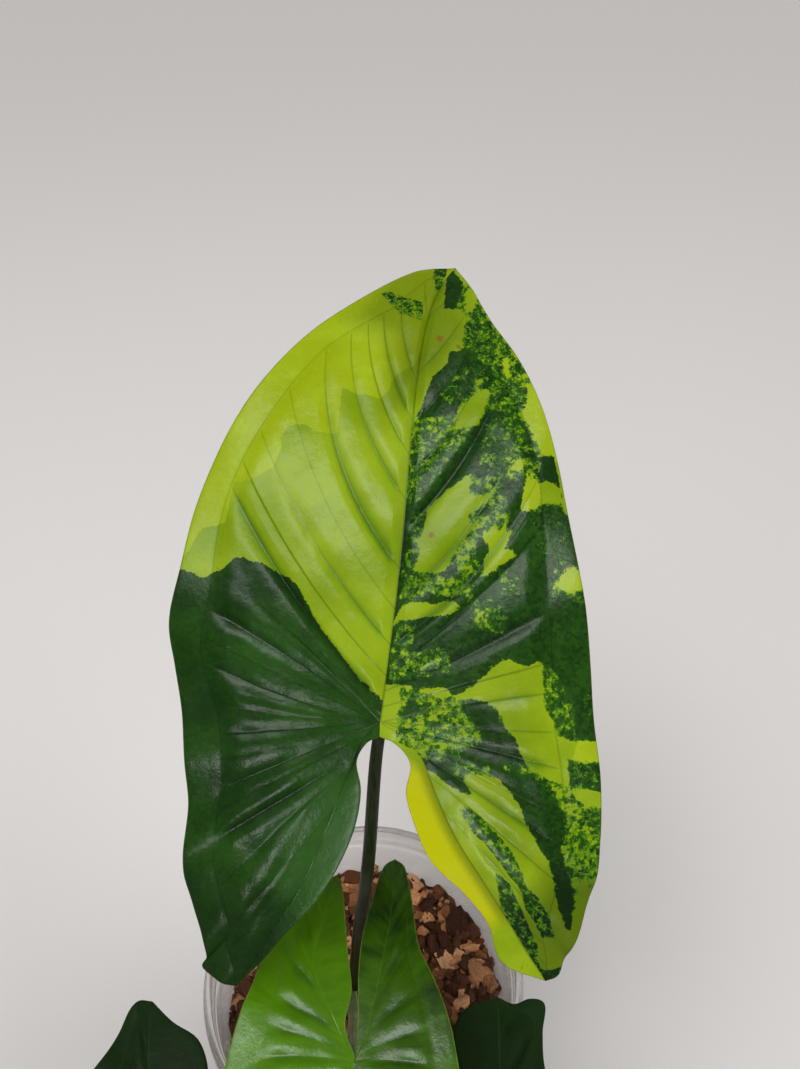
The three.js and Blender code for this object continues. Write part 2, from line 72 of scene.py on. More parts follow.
class Finish:
    """A material being made: one Principled shader, and short calls that add nodes before it."""

    def __init__(self, name, roughness, **sockets):
        self.material = bpy.data.materials.new(name)
        self.material.use_nodes = True
        self.tree = self.material.node_tree
        self.shader = self.tree.nodes["Principled BSDF"]
        self.set("Roughness", roughness)
        for socket, value in sockets.items():
            self.set(socket.replace("_", " "), value)

    def set(self, socket, value):
        """Sets one of the shader's sockets, or links it where the value is another node's output."""
        self.fill(self.shader.inputs[socket], value)

    def fill(self, socket, value):
        """Sets or links a socket of any node."""
        if isinstance(value, bpy.types.NodeSocket):
            self.tree.links.new(value, socket)
        else:
            socket.default_value = value

    def add(self, kind, inputs, output=0, **settings):
        """Adds a node, sets it, and gives back one of its outputs."""
        node = self.tree.nodes.new("ShaderNode" + kind)
        for name, value in settings.items():
            setattr(node, name, value)
        for name, value in inputs.items():
            self.fill(node.inputs[name], value)
        return node.outputs[output]

    def place(self):
        """Where a point lies on the object, in metres."""
        return self.add("TexCoord", {}, "Object")

    def value(self, name):
        """A number stored at each corner of the mesh."""
        return self.add("Attribute", {}, "Fac", attribute_name=name)

    def calc(self, operation, *values):
        """One sum on one to three numbers."""
        return self.add("Math", dict(enumerate(values)), operation=operation)

    def step(self, value, low, high, smooth=True):
        """0 below low and 1 above high, and the other way round where low is the larger."""
        kind = "SMOOTHSTEP" if smooth else "LINEAR"
        inputs = {"Value": value, "From Min": low, "From Max": high}
        return self.add("MapRange", inputs, interpolation_type=kind)

    def mix(self, share, first, second, kind="MIX"):
        """Leads from the first colour at 0 to the second at 1, or to both multiplied."""
        inputs = {0: share, 6: first, 7: second}
        return self.add("Mix", inputs, 2, data_type="RGBA", blend_type=kind)

    def stretch(self, vector, scale):
        """A place scaled along each axis. A pattern read there is drawn out where the scale is small."""
        return self.add("Mapping", {"Vector": vector, "Scale": scale})

    def noise(self, vector, scale, detail=3.0, rough=0.55):
        """A cloudy pattern from 0 to 1, with so many lumps to a metre."""
        inputs = {"Vector": vector, "Scale": scale, "Detail": detail, "Roughness": rough}
        return self.add("TexNoise", inputs, "Fac")

    def cells(self, vector, scale, output="Color"):
        """A pattern of pebbles: a colour for each, or the distance from its middle."""
        return self.add("TexVoronoi", {"Vector": vector, "Scale": scale}, output)

    def bump(self, height, strength, distance):
        """Lays a fine relief over those laid before it."""
        inputs = {"Height": height, "Strength": strength, "Distance": distance}
        laid = self.shader.inputs["Normal"].links
        if laid:
            inputs["Normal"] = laid[0].from_socket
        self.set("Normal", self.add("Bump", inputs))


def new_piece(name, points, faces, finish, smooth=True):
    """A mesh object at the origin from points in millimetres and rows of corner numbers."""
    mesh = bpy.data.meshes.new(name)
    rows = faces if isinstance(faces, list) else faces.tolist()
    mesh.from_pydata((points * MM).tolist(), [], rows)
    mesh.polygons.foreach_set("use_smooth", np.full(len(mesh.polygons), smooth))
    mesh.materials.append(finish.material)
    piece = bpy.data.objects.new(name, mesh)
    bpy.context.scene.collection.objects.link(piece)
    return piece


def settle(piece, node):
    """Lets a piece ride with the plant, and stand for the solid that it replaces."""
    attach(piece, "root")
    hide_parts(node)


def ring_faces(rings, sides):
    """Quads between rings of corners, each joined to the next, and one face over each end ring."""
    ring, side = np.meshgrid(np.arange(rings - 1), np.arange(sides), indexing="ij")
    after = (side + 1) % sides
    low, high = ring * sides, (ring + 1) * sides
    quads = np.stack([low + side, low + after, high + after, high + side], -1).reshape(-1, 4)
    first_end = list(range(sides))[::-1]
    last_end = list(range((rings - 1) * sides, rings * sides))
    return [*quads.tolist(), first_end, last_end]


def wall_radius(height):
    """The radius outside the pot's sloping wall at a height."""
    return FOOT_RADIUS + WALL_SLOPE * height


def lathe(profile, sides):
    """Corners of a profile of [radius, height] carried round the Z axis, a ring to each point."""
    radius, height = np.asarray(profile, float).T
    angle = np.arange(sides) * 2 * np.pi / sides
    x = radius[:, None] * np.cos(angle)
    y = radius[:, None] * np.sin(angle)
    return np.stack([x, y, np.broadcast_to(height[:, None], x.shape)], -1).reshape(-1, 3)


def arc(centre, radius, start, end, count):
    """Points round an arc of a profile, from one angle to another in degrees."""
    angle = np.radians(np.linspace(start, end, count))
    return np.stack([centre[0] + radius * np.cos(angle), centre[1] + radius * np.sin(angle)], -1)


def pot_profile():
    """The pot's section, from the floor's edge up the outside, over the rim and down the inside."""
    lip = RIM_RADIUS
    collar = RIM_RADIUS - COLLAR_STEP
    shoulder_in = wall_radius(SHOULDER) - WALL
    return np.vstack([
        [[0.5, 0.6], [FOOT_RADIUS - 6, 0.6], [FOOT_RADIUS - 5, 0]],
        arc((FOOT_RADIUS - HEEL_RADIUS, HEEL_RADIUS), HEEL_RADIUS, -90, 0, 6),
        [[wall_radius(h), h] for h in np.linspace(4, SHOULDER - 2, 24)],
        arc((wall_radius(SHOULDER) + 0.9, SHOULDER - 1), 0.9, 180, 90, 5),
        arc((collar + WALL - 0.5, SHOULDER + 0.6), 0.5, -90, 0, 4),
        [[collar + WALL, h] for h in np.linspace(SHOULDER + 2, POT_HEIGHT - BAND_DEPTH - 1, 4)],
        arc((lip - 0.9, POT_HEIGHT - BAND_DEPTH), 0.6, -90, 0, 4),
        [[lip, POT_HEIGHT - 4], [lip, POT_HEIGHT - 2.2]],
        arc((lip - ROLL_RADIUS, POT_HEIGHT - ROLL_RADIUS), ROLL_RADIUS, 0, 150, 10),
        [[collar, POT_HEIGHT - 2.4], [collar - 0.2, POT_HEIGHT - 6]],
        [[collar - 0.4, SHOULDER + WALL + 0.6]],
        arc((collar - 1, SHOULDER + WALL + 0.5), 0.6, 0, -90, 4),
        [[shoulder_in + 0.4, SHOULDER + 0.2]],
        [[wall_radius(h) - WALL, h] for h in np.linspace(SHOULDER - 1.5, 5, 24)],
        arc((wall_radius(FLOOR + 2) - WALL - 2, FLOOR + 2), 2, 0, -90, 6),
        [[FOOT_RADIUS - 8, FLOOR], [0.5, FLOOR]],
    ])


def carry_round(corners, angle):
    """Turns some corners of a mesh about the Z axis."""
    across, along = math.cos(angle), math.sin(angle)
    for corner in corners:
        x, y = corner.co.x, corner.co.y
        corner.co.x = across * x - along * y
        corner.co.y = along * x + across * y


def cut_holes(piece):
    """Cuts the drain holes and the heel slots out of the pot, with one cutter of rods and boxes."""
    cutter = bmesh.new()
    for i in range(DRAIN_COUNT):
        angle = 2 * math.pi * i / DRAIN_COUNT
        drain = bmesh.ops.create_cone(
            cutter, cap_ends=True, segments=32, depth=3 * FLOOR * MM,
            radius1=DRAIN_RADIUS * MM, radius2=DRAIN_RADIUS * MM)["verts"]
        bmesh.ops.translate(cutter, verts=drain, vec=(DRAIN_CIRCLE * MM, 0, FLOOR / 2 * MM))
        carry_round(drain, angle)
        slot = bmesh.ops.create_cube(cutter, size=MM)["verts"]
        bmesh.ops.scale(cutter, verts=slot, vec=(8 * WALL, SLOT_WIDTH, SLOT_HEIGHT))
        bmesh.ops.translate(cutter, verts=slot, vec=(FOOT_RADIUS * MM, 0, SLOT_LEVEL * MM))
        carry_round(slot, angle + math.pi / DRAIN_COUNT)
    mesh = bpy.data.meshes.new("cutter")
    cutter.to_mesh(mesh)
    cutter.free()
    tool = bpy.data.objects.new("cutter", mesh)
    bpy.context.scene.collection.objects.link(tool)
    cut = piece.modifiers.new("holes", "BOOLEAN")
    cut.operation = "DIFFERENCE"
    cut.solver = "EXACT"
    cut.object = tool
    whole = bpy.data.meshes.new_from_object(piece.evaluated_get(bpy.context.evaluated_depsgraph_get()))
    piece.modifiers.clear()
    piece.data = whole
    bpy.data.objects.remove(tool)


def pot_finish():
    """Clear plastic gone slightly milky, with faint turned lines, dried drops and a dusty foot."""
    finish = Finish("clear_pot", 0.2, IOR=1.45, Transmission_Weight=0.78, Specular_IOR_Level=0.5)
    place = finish.place()
    film = finish.noise(place, 38.0, 5.0)
    drops = finish.cells(place, 260.0, "Distance")
    stain = finish.calc("MULTIPLY", finish.step(drops, 0.34, 0.26), finish.step(film, 0.5, 0.62))
    height = finish.add("SeparateXYZ", {"Vector": place}, "Z")
    dust = finish.calc("MULTIPLY", finish.step(height, 0.03, 0.0), film)
    haze = finish.calc("ADD", finish.calc("MULTIPLY", stain, 0.35), dust)
    finish.set("Base Color", finish.mix(haze, paint(250, 247, 246), paint(222, 214, 205)))
    finish.set("Roughness", finish.add("MapRange", {"Value": film, "To Min": 0.08, "To Max": 0.2}))
    lines = finish.noise(finish.stretch(place, (1, 1, 30)), 16.0, 2.0)
    finish.bump(lines, 0.12, 0.0004)
    return finish


profile = pot_profile()
pot_faces = ring_faces(len(profile), POT_SIDES)
pot = new_piece("pot_skin", lathe(profile, POT_SIDES), pot_faces, pot_finish())
cut_holes(pot)
settle(pot, "pot")

# The bark mix: chunky orchid bark, damp and dark with a few freshly split tan faces, in fine dark
# crumb. It is poured in loose round the roots, so the chips lie at all angles and press on the wall.
SOIL_LEVEL = 83.0
GAP = 0.3
STEM_X = -5.0
STEM_Y = -4.5
MIX_SIDES = 180
TOP_CHIPS = 430
WALL_CHIPS = 760
CRUMBS = 900
FULL_TURN = 6.283
GOLDEN_ANGLE = 2.39996


def mix_level(x, y):
    """The height of the mix: a broad swell and a finer one."""
    broad = np.sin(0.11 * x + 1.2) * np.cos(0.09 * y - 0.4)
    fine = np.sin(0.34 * x - 0.21 * y) * np.cos(0.29 * y + 0.13 * x + 2)
    return SOIL_LEVEL + 1.1 * broad + 0.7 * fine


def mix_room(height):
    """How far from the pot's axis the mix reaches at a height."""
    return wall_radius(np.clip(height, FLOOR, SHOULDER)) - WALL - GAP


def crumb_body():
    """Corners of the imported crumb: a disc below, the side against the wall and a lumpy top."""
    floor = FLOOR + GAP
    side = np.linspace(floor + 2, SOIL_LEVEL - 3, 60)
    top = np.linspace(mix_room(SOIL_LEVEL) - 1.5, 1, 44)
    profile = np.vstack([
        [[1, floor], [FOOT_RADIUS - 5, floor]],
        np.stack([mix_room(side) - 1.1, side], -1),
        np.stack([top, np.full(len(top), SOIL_LEVEL)], -1),
    ])
    corners = lathe(profile, MIX_SIDES).reshape(len(profile), MIX_SIDES, 3)
    x, y, z = corners[..., 0], corners[..., 1], corners[..., 2]
    lumps = np.sin(1.9 * x + 1.3 * np.sin(1.1 * y)) * np.sin(1.7 * y + 1.1 * np.sin(0.9 * x + 0.7 * z))
    onto_top = z > SOIL_LEVEL - 1
    z += np.where(onto_top, mix_level(x, y) - SOIL_LEVEL - 1.2 + 0.5 * lumps, 0)
    dent = 1 - np.where(onto_top, 0, 0.006 + 0.006 * np.sin(0.9 * z + 2.1 * np.sin(0.4 * x)) * lumps)
    x *= dent
    y *= dent
    return corners.reshape(-1, 3), ring_faces(len(profile), MIX_SIDES)


def chunk_shape():
    """A block's 26 surface corners and 24 quads: a cube split in two each way, its edges worn."""
    block = bmesh.new()
    bmesh.ops.create_cube(block, size=2)
    bmesh.ops.subdivide_edges(block, edges=block.edges[:], cuts=1, use_grid_fill=True)
    corners = np.array([corner.co for corner in block.verts])
    faces = np.array([[corner.index for corner in face.verts] for face in block.faces])
    block.free()
    worn = corners / np.linalg.norm(corners, axis=1, keepdims=True) ** 0.45
    return worn, faces


def rotations(tilt, roll, spin):
    """Rotation matrices, one for each set of three angles: about X, then Y, then Z."""
    matrices = []
    for angle, axis in ((tilt, 0), (roll, 1), (spin, 2)):
        a, b = [k for k in range(3) if k != axis]
        matrix = np.tile(np.eye(3), (len(angle), 1, 1))
        matrix[:, a, a] = matrix[:, b, b] = np.cos(angle)
        matrix[:, a, b] = -np.sin(angle)
        matrix[:, b, a] = np.sin(angle)
        matrices.append(matrix)
    return matrices[2] @ matrices[1] @ matrices[0]


def scattered(rng, sizes, centres, matrices):
    """Copies of the block, each scaled, knocked out of shape, turned and put in its place.
    Gives the corners, the faces, and for each corner its copy's tone and its place on the copy."""
    shape, quads = chunk_shape()
    count, corners = len(sizes), len(shape)
    local = shape * (1 + 0.34 * (rng.random((count, corners, 1)) - 0.5)) * sizes[:, None]
    local = local + 0.1 * sizes[:, None] * rng.standard_normal((count, corners, 3))
    placed = np.einsum("nij,nkj->nki", matrices, local) + centres[:, None]
    room = mix_room(placed[..., 2]) - 0.1
    reach = np.linalg.norm(placed[..., :2], axis=-1)
    placed[..., :2] *= np.minimum(1, room / np.maximum(reach, 1))[..., None]
    placed[..., 2] = np.maximum(placed[..., 2], FLOOR + GAP)
    faces = quads[None] + corners * np.arange(count)[:, None, None]
    tone = np.repeat(rng.random(count), corners)
    return placed.reshape(-1, 3), faces.reshape(-1, 4), tone, local.reshape(-1, 3)


def even_spread(rng, count, reach, spacing):
    """Places on a disc, drawn one by one and kept apart while there is room."""
    places = np.empty((0, 2))
    tries = 0
    while len(places) < count:
        radius = reach * math.sqrt(rng.random())
        angle = 2 * math.pi * rng.random()
        spot = np.array([radius * math.cos(angle), radius * math.sin(angle)])
        clear = spacing * 0.5 ** (tries / 4000)
        tries += 1
        if np.hypot(*(places - spot).T).min(initial=1e9) > clear:
            places = np.vstack([places, spot])
    return places


def top_chips(rng):
    """Chips on the mix: long flat blocks in two loose layers, clear of the stem."""
    spots = even_spread(rng, TOP_CHIPS, mix_room(SOIL_LEVEL) - 3, 6)
    spots = spots[np.hypot(spots[:, 0] - STEM_X, spots[:, 1] - STEM_Y) > 9]
    count = len(spots)
    length = 2.2 + 3.0 * rng.random(count) ** 1.4
    width = length * rng.uniform(0.5, 0.85, count)
    thickness = length * rng.uniform(0.3, 0.6, count)
    sizes = np.stack([length, width, thickness], -1)
    lift = rng.uniform(-0.8, 1.3, count)
    centres = np.column_stack([spots, mix_level(*spots.T) + lift])
    lean = np.where(rng.random(count) < 0.2, 1.1, 0.5)
    tilt = lean * rng.uniform(-1, 1, count)
    roll = lean * rng.uniform(-1, 1, count)
    spin = FULL_TURN * rng.random(count)
    return scattered(rng, sizes, centres, rotations(tilt, roll, spin))


def wall_chips(rng):
    """Chips pressed on the inside of the wall, their flat sides against it."""
    count = WALL_CHIPS
    height = FLOOR + 3 + (SOIL_LEVEL - FLOOR - 4) * ((np.arange(count) + rng.random(count)) / count)
    angle = np.arange(count) * GOLDEN_ANGLE + rng.uniform(-0.06, 0.06, count)
    length = 2.6 + 3.0 * rng.random(count) ** 1.5
    sizes = np.stack([length * 0.35, length, length * rng.uniform(0.45, 0.85, count)], -1)
    radius = mix_room(height) - 0.3 * length
    centres = np.stack([radius * np.cos(angle), radius * np.sin(angle), height], -1)
    matrices = rotations(rng.uniform(-1.5, 1.5, count), rng.uniform(-0.2, 0.2, count), angle)
    return scattered(rng, sizes, centres, matrices)


def loose_crumbs(rng):
    """Small crumbs in the gaps between the top chips."""
    spots = even_spread(rng, CRUMBS, mix_room(SOIL_LEVEL) - 1.5, 2)
    length = rng.uniform(0.5, 1.3, CRUMBS)
    width = length * rng.uniform(0.6, 1, CRUMBS)
    thickness = length * rng.uniform(0.5, 0.9, CRUMBS)
    sizes = np.stack([length, width, thickness], -1)
    centres = np.column_stack([spots, mix_level(*spots.T) + rng.uniform(-0.6, 0.9, CRUMBS)])
    angles = [FULL_TURN * rng.random(CRUMBS) for _ in range(3)]
    return scattered(rng, sizes, centres, rotations(*angles))


def bark_finish(name, tones, grain):
    """Bark: a tone for each chip, dark wet patches, and fibres that run along the chip."""
    finish = Finish(name, 0.85, Specular_IOR_Level=0.3)
    place = finish.place()
    ramp = finish.tree.nodes.new("ShaderNodeValToRGB")
    for i, (at, colour) in enumerate(tones):
        stop = ramp.color_ramp.elements[i] if i < 2 else ramp.color_ramp.elements.new(at)
        stop.position = at
        stop.color = colour
    wear = finish.noise(place, 330.0, 4.0, 0.65)
    shade = finish.calc("ADD", finish.value("tone"), finish.calc("MULTIPLY_ADD", wear, 0.4, -0.2))
    finish.tree.links.new(shade, ramp.inputs[0])
    if grain:
        along = finish.add("Attribute", {}, "Vector", attribute_name="grain")
        drawn_out = finish.stretch(along, (0.25, 2.4, 2.4))
    else:
        drawn_out = finish.stretch(place, (900, 900, 900))
    fibres = finish.noise(drawn_out, 1.0, 4.0, 0.6)
    grooves = finish.calc("MULTIPLY", finish.step(fibres, 0.6, 0.25), 0.6)
    dark = finish.mix(grooves, ramp.outputs[0], paint(44, 26, 16))
    damp = finish.step(finish.noise(place, 60.0, 2.0), 0.42, 0.62)
    finish.set("Base Color", finish.mix(finish.calc("MULTIPLY", damp, 0.35), dark, paint(48, 30, 18)))
    finish.set("Roughness", finish.add("MapRange", {"Value": damp, "To Min": 0.9, "To Max": 0.5}))
    finish.bump(fibres, 0.6, 0.0005)
    finish.bump(wear, 0.5, 0.0005)
    return finish


def store(mesh, name, values, domain="POINT"):
    """Keeps a number, or three, for each point or corner of a mesh."""
    values = np.asarray(values, np.float32)
    kind, field = ("FLOAT", "value") if values.ndim == 1 else ("FLOAT_VECTOR", "vector")
    mesh.attributes.new(name, kind, domain).data.foreach_set(field, values.ravel())


# Each ramp gives its two ends first, and then the tones between them.
BARK_TONES = [
    (0.0, paint(66, 38, 25)), (1.0, paint(244, 184, 134)), (0.46, paint(112, 68, 44)),
    (0.7, paint(168, 110, 72)), (0.86, paint(224, 158, 110)),
]
CRUMB_TONES = [(0.0, paint(62, 38, 24)), (1.0, paint(140, 92, 60)), (0.6, paint(98, 62, 40))]
crumb_finish = bark_finish("dark_crumb", CRUMB_TONES, False)
chip_finish = bark_finish("bark_chip", BARK_TONES, True)
rng = np.random.default_rng(7)
body = new_piece("bark_crumb", *crumb_body(), crumb_finish)
store(body.data, "tone", rng.random(len(body.data.vertices)))
settle(body, "substrate")
for name, scatter in (("top_chips", top_chips), ("wall_chips", wall_chips), ("crumbs", loose_crumbs)):
    points, faces, tone, local = scatter(rng)
    piece = new_piece(name, points, faces, chip_finish, smooth=False)
    store(piece.data, "tone", tone)
    store(piece.data, "grain", local)
    settle(piece, "substrate")

# The roots: pale fleshy cords that spring from the foot of the stem and run through the mix.
# They are the solids themselves, cream with a velvety coat that is stained by the bark.
root_finish = Finish("root_coat", 0.75, Specular_IOR_Level=0.3)
root_place = root_finish.place()
stain = root_finish.step(root_finish.noise(root_place, 140.0, 4.0), 0.4, 0.7)
root_finish.set("Base Color", root_finish.mix(stain, paint(214, 196, 158), paint(140, 106, 70)))
root_finish.bump(root_finish.noise(root_place, 900.0, 3.0), 0.4, 0.0004)
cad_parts["roots"].data.materials.clear()
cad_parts["roots"].data.materials.append(root_finish.material)

# The stem: a short green rootstock with swollen joints, ringed where old leaves came away.
# It stands in the mix, and all four petioles spring from it.
STEM_RADIUS = 5.0
STEM_TOP = 97.0
STEM_BOTTOM = 55.0
STEM_SIDES = 72
STEM_JOINTS = (74.0, 88.5)


def stem_skin():
    """A ring every half millimetre. The radius swells at the joints and is scarred below each."""
    height = np.linspace(STEM_BOTTOM, STEM_TOP - 0.6, 84)
    angle = np.arange(STEM_SIDES) * 2 * np.pi / STEM_SIDES
    radius = np.full(len(height), STEM_RADIUS - 0.5)
    for joint in STEM_JOINTS:
        swelling = 0.7 * np.exp(-((height - joint) / 1.6) ** 2)
        scar = 0.35 * np.exp(-((height - joint + 2.4) / 0.5) ** 2)
        radius += swelling - scar
    radius -= 1.2 * np.clip((height - STEM_TOP + 2) / 2, 0, 1) ** 2
    level = height[:, None]
    rough = 0.12 * np.sin(7 * angle + 0.8 * level) + 0.08 * np.sin(13 * angle - 0.5 * level)
    radius = radius[:, None] + rough
    rings = np.stack([
        STEM_X + radius * np.cos(angle),
        STEM_Y + radius * np.sin(angle),
        np.broadcast_to(level, radius.shape),
    ], -1)
    return rings.reshape(-1, 3), ring_faces(len(height), STEM_SIDES)


def stem_finish():
    """Green rind with lengthwise streaks and brown corky patches."""
    finish = Finish("stem_skin", 0.45)
    place = finish.place()
    streaks = finish.noise(finish.stretch(place, (1, 1, 0.15)), 700.0, 3.0)
    rind = finish.noise(place, 120.0, 5.0)
    green = finish.mix(finish.step(streaks, 0.35, 0.7), paint(52, 66, 30), paint(104, 118, 62))
    finish.set("Base Color", finish.mix(finish.step(rind, 0.52, 0.66), green, paint(112, 90, 58)))
    finish.bump(streaks, 0.5, 0.0005)
    return finish


stem = new_piece("stem_skin", *stem_skin(), stem_finish())
settle(stem, "stem")

# The petioles: firm juicy leaf stalks, round, with fine lengthwise ribs. The lower part of each is
# an open sheath with two thin lips that once wrapped the next leaf, and the top runs into the
# blade's midrib. The old ones are dark green brown and the young one is pale.
BLADE_THICKNESS = 0.8
PETIOLE_RINGS = 150
PETIOLE_SIDES = 48
STALK_DROPS = (4.6, 2.2)
STALK_END = (5.0, -1.9)
LEAVES = {
    "variegated": {
        "sinus": (7.9, 6, 239), "heading": 6, "slope": 50, "bend": 0.0026, "wave": 1.2,
        "path": [(-3.6, -2.2, 97.3), (-2.3, -2, 104), (-0.5, -1, 128), (1.2, 1, 152), (3.5, 3, 178),
                 (6.6, 6.5, 224)],
        "radii": (2.6, 1.75), "sheath": 1.5, "sheath_end": 0.37, "sheath_side": 235,
    },
    "young": {
        "sinus": (0, -50, 155), "heading": 182, "slope": -12, "bend": 0.004, "wave": 0.8,
        "path": [(-5.4, -7.4, 97.3), (-4, -14, 106), (-2, -28, 126), (-0.8, -42, 145)],
        "radii": (2.0, 1.5), "sheath": 0.9, "sheath_end": 0.4, "sheath_side": 90,
    },
    "side_left": {
        "sinus": (-56, -66, 116), "heading": 205, "slope": -12, "bend": 0.004, "wave": 1.2,
        "path": [(-7, -7, 87), (-17, -19, 99), (-33, -38, 110), (-47, -56, 113)],
        "radii": (2.3, 1.6), "sheath": 0.9, "sheath_end": 0.4, "sheath_side": 90,
    },
    "side_right": {
        "sinus": (44, -74, 116), "heading": 158, "slope": -12, "bend": 0.004, "wave": 1.2,
        "path": [(-1.5, -8, 87), (10, -20, 99), (24, -42, 110), (36, -61, 113)],
        "radii": (2.3, 1.6), "sheath": 0.9, "sheath_end": 0.4, "sheath_side": 90,
    },
}


def curve_through(points, places):
    """The smooth curve through points, read at places counted in points: 0 is the first one.
    Between two points it is a cubic, whose slopes at its ends weigh the near points by the root of
    their distances."""
    points = np.asarray(points, float)
    row = np.vstack([2 * points[0] - points[1], points, 2 * points[-1] - points[-2]])
    gaps = np.sqrt(np.linalg.norm(np.diff(row, axis=0), axis=1))[:, None]
    i = np.clip(np.floor(places).astype(int), 0, len(points) - 2)
    t = (np.asarray(places) - i)[:, None]
    a, b, c, d = row[i], row[i + 1], row[i + 2], row[i + 3]
    before, here, after = gaps[i], gaps[i + 1], gaps[i + 2]
    leave = ((b - a) / before - (c - a) / (before + here) + (c - b) / here) * here
    arrive = ((c - b) / here - (d - b) / (here + after) + (d - c) / after) * here
    return b + t * (leave + t * (3 * (c - b) - 2 * leave - arrive + t * (2 * (b - c) + leave + arrive)))


def evenly_along(points, shares):
    """The curve through points, read at shares of its length from 0 to 1."""
    places = np.linspace(0, len(points) - 1, 40 * len(points))
    steps = np.linalg.norm(np.diff(curve_through(points, places), axis=0), axis=1)
    length = np.concatenate([[0], np.cumsum(steps)])
    return curve_through(points, np.interp(np.asarray(shares) * length[-1], length, places))


def on_leaf(leaf, p, q, h):
    """A place on a leaf: p across and q towards the tip on its flat sheet, and h above it. The
    sheet is bent on an arc along q, tilted by the slope and turned to the leaf's heading."""
    start = math.radians(leaf["slope"])
    angle = start - leaf["bend"] * q
    along = (math.sin(start) - np.sin(angle)) / leaf["bend"] - h * np.sin(angle)
    rise = (np.cos(angle) - math.cos(start)) / leaf["bend"] + h * np.cos(angle)
    turned_by = math.radians(leaf["heading"])
    x, y, z = leaf["sinus"]
    return np.stack([
        x + p * math.cos(turned_by) + along * math.sin(turned_by),
        y - p * math.sin(turned_by) + along * math.cos(turned_by),
        z + rise,
    ], -1)


def petiole_skin(leaf):
    """A section carried along the stalk's path. Its radius tapers, has shallow ribs, swells at the
    foot, and low down has two lips beside a groove, which close in towards the sheath's end. The
    path comes up under the sinus and ends inside the midrib's keel. Gives the corners, the faces,
    and how far each corner is up on a lip."""
    under = [on_leaf(leaf, 0, 0, -drop) for drop in STALK_DROPS]
    into = on_leaf(leaf, 0, *STALK_END)
    share = np.linspace(0, 1, PETIOLE_RINGS)
    centre = evenly_along([*leaf["path"], *under, into], share)
    forward = np.gradient(centre, axis=0)
    forward /= np.linalg.norm(forward, axis=1, keepdims=True)
    right = np.array([1.0, 0, 0]) - forward[:, :1] * forward
    right /= np.linalg.norm(right, axis=1, keepdims=True)
    back = np.cross(forward, right)
    angle = np.arange(PETIOLE_SIDES) * 2 * np.pi / PETIOLE_SIDES
    low, high = leaf["radii"]
    foot = 0.5 * np.exp(-share / 0.02)
    top = 0.7 * np.clip((share - 0.96) / 0.04, 0, 1)
    body = low + (high - low) * share + foot - top
    fade = np.sqrt(np.clip(1 - share / leaf["sheath_end"], 0, 1))
    facing = math.radians(leaf["sheath_side"])
    off = np.abs((angle - facing + np.pi) % (2 * np.pi) - np.pi)
    lips = np.exp(-((off - 0.95) / 0.2) ** 2)
    groove = np.exp(-(off / 0.5) ** 2)
    ribs = 0.03 * np.sin(14 * angle)
    radius = body[:, None] * (1 + ribs) + leaf["sheath"] * fade[:, None] * (lips - 0.45 * groove)
    rings = (
        centre[:, None]
        + radius[..., None] * np.cos(angle)[None, :, None] * right[:, None]
        + radius[..., None] * np.sin(angle)[None, :, None] * back[:, None]
    )
    lip = np.broadcast_to(fade[:, None] * lips, radius.shape)
    return rings.reshape(-1, 3), ring_faces(PETIOLE_RINGS, PETIOLE_SIDES), lip.ravel()


def petiole_finish(name, shade, light, lip):
    """Stalk skin: fine lengthwise streaks, cloudy darker patches, and pale thin lips."""
    finish = Finish(name, 0.34)
    place = finish.place()
    streaks = finish.noise(finish.stretch(place, (1, 1, 0.12)), 1100.0, 3.0)
    cloud = finish.noise(place, 55.0, 3.0)
    green = finish.mix(finish.step(streaks, 0.3, 0.75), shade, light)
    green = finish.mix(finish.calc("MULTIPLY", finish.step(cloud, 0.45, 0.7), 0.5), green, shade)
    edge = finish.calc("MULTIPLY", finish.step(finish.value("lip"), 0.35, 0.85), 0.8)
    finish.set("Base Color", finish.mix(edge, green, lip))
    finish.set("Roughness", finish.add("MapRange", {"Value": streaks, "To Min": 0.26, "To Max": 0.46}))
    finish.bump(streaks, 0.35, 0.0003)
    return finish


dark_stalk = petiole_finish("dark_stalk", paint(22, 30, 12), paint(52, 60, 30), paint(92, 108, 62))
pale_stalk = petiole_finish("pale_stalk", paint(92, 112, 62), paint(142, 158, 106), paint(160, 176, 120))
STALK_FINISH = {"young": (pale_stalk, "pale_petiole")}
for name, leaf in LEAVES.items():
    finish, slot = STALK_FINISH.get(name, (dark_stalk, "dark_petiole"))
    points, faces, lip = petiole_skin(leaf)
    stalk = new_piece(name + "_stalk", points, faces, finish)
    store(stalk.data, "lip", lip)
    settle(stalk, name + "_petiole")

# The blades: one thin waxy sheet each, arrow shaped, with a keeled midrib and a keeled rib down
# each lobe. The side veins sink in above and puff the sheet up between them, and each curves out
# to a looped vein that runs inside the margin.
FOLD = 0.12
DROOP = 0.0016
KEEL = 1.25
KEEL_WIDTH = 1.5
PUFF = 1.3
LOOP_INSET = 11.0
FRONT_END = 5.0
FAN_START = 6.0
RIDGE_RISE = 28.0
WEAK_DELAY = 26.0
VEIN_WIDTH = 10.0
INSIDE_SHIFT = 500.0
WELD_SHIFT = 0.00012

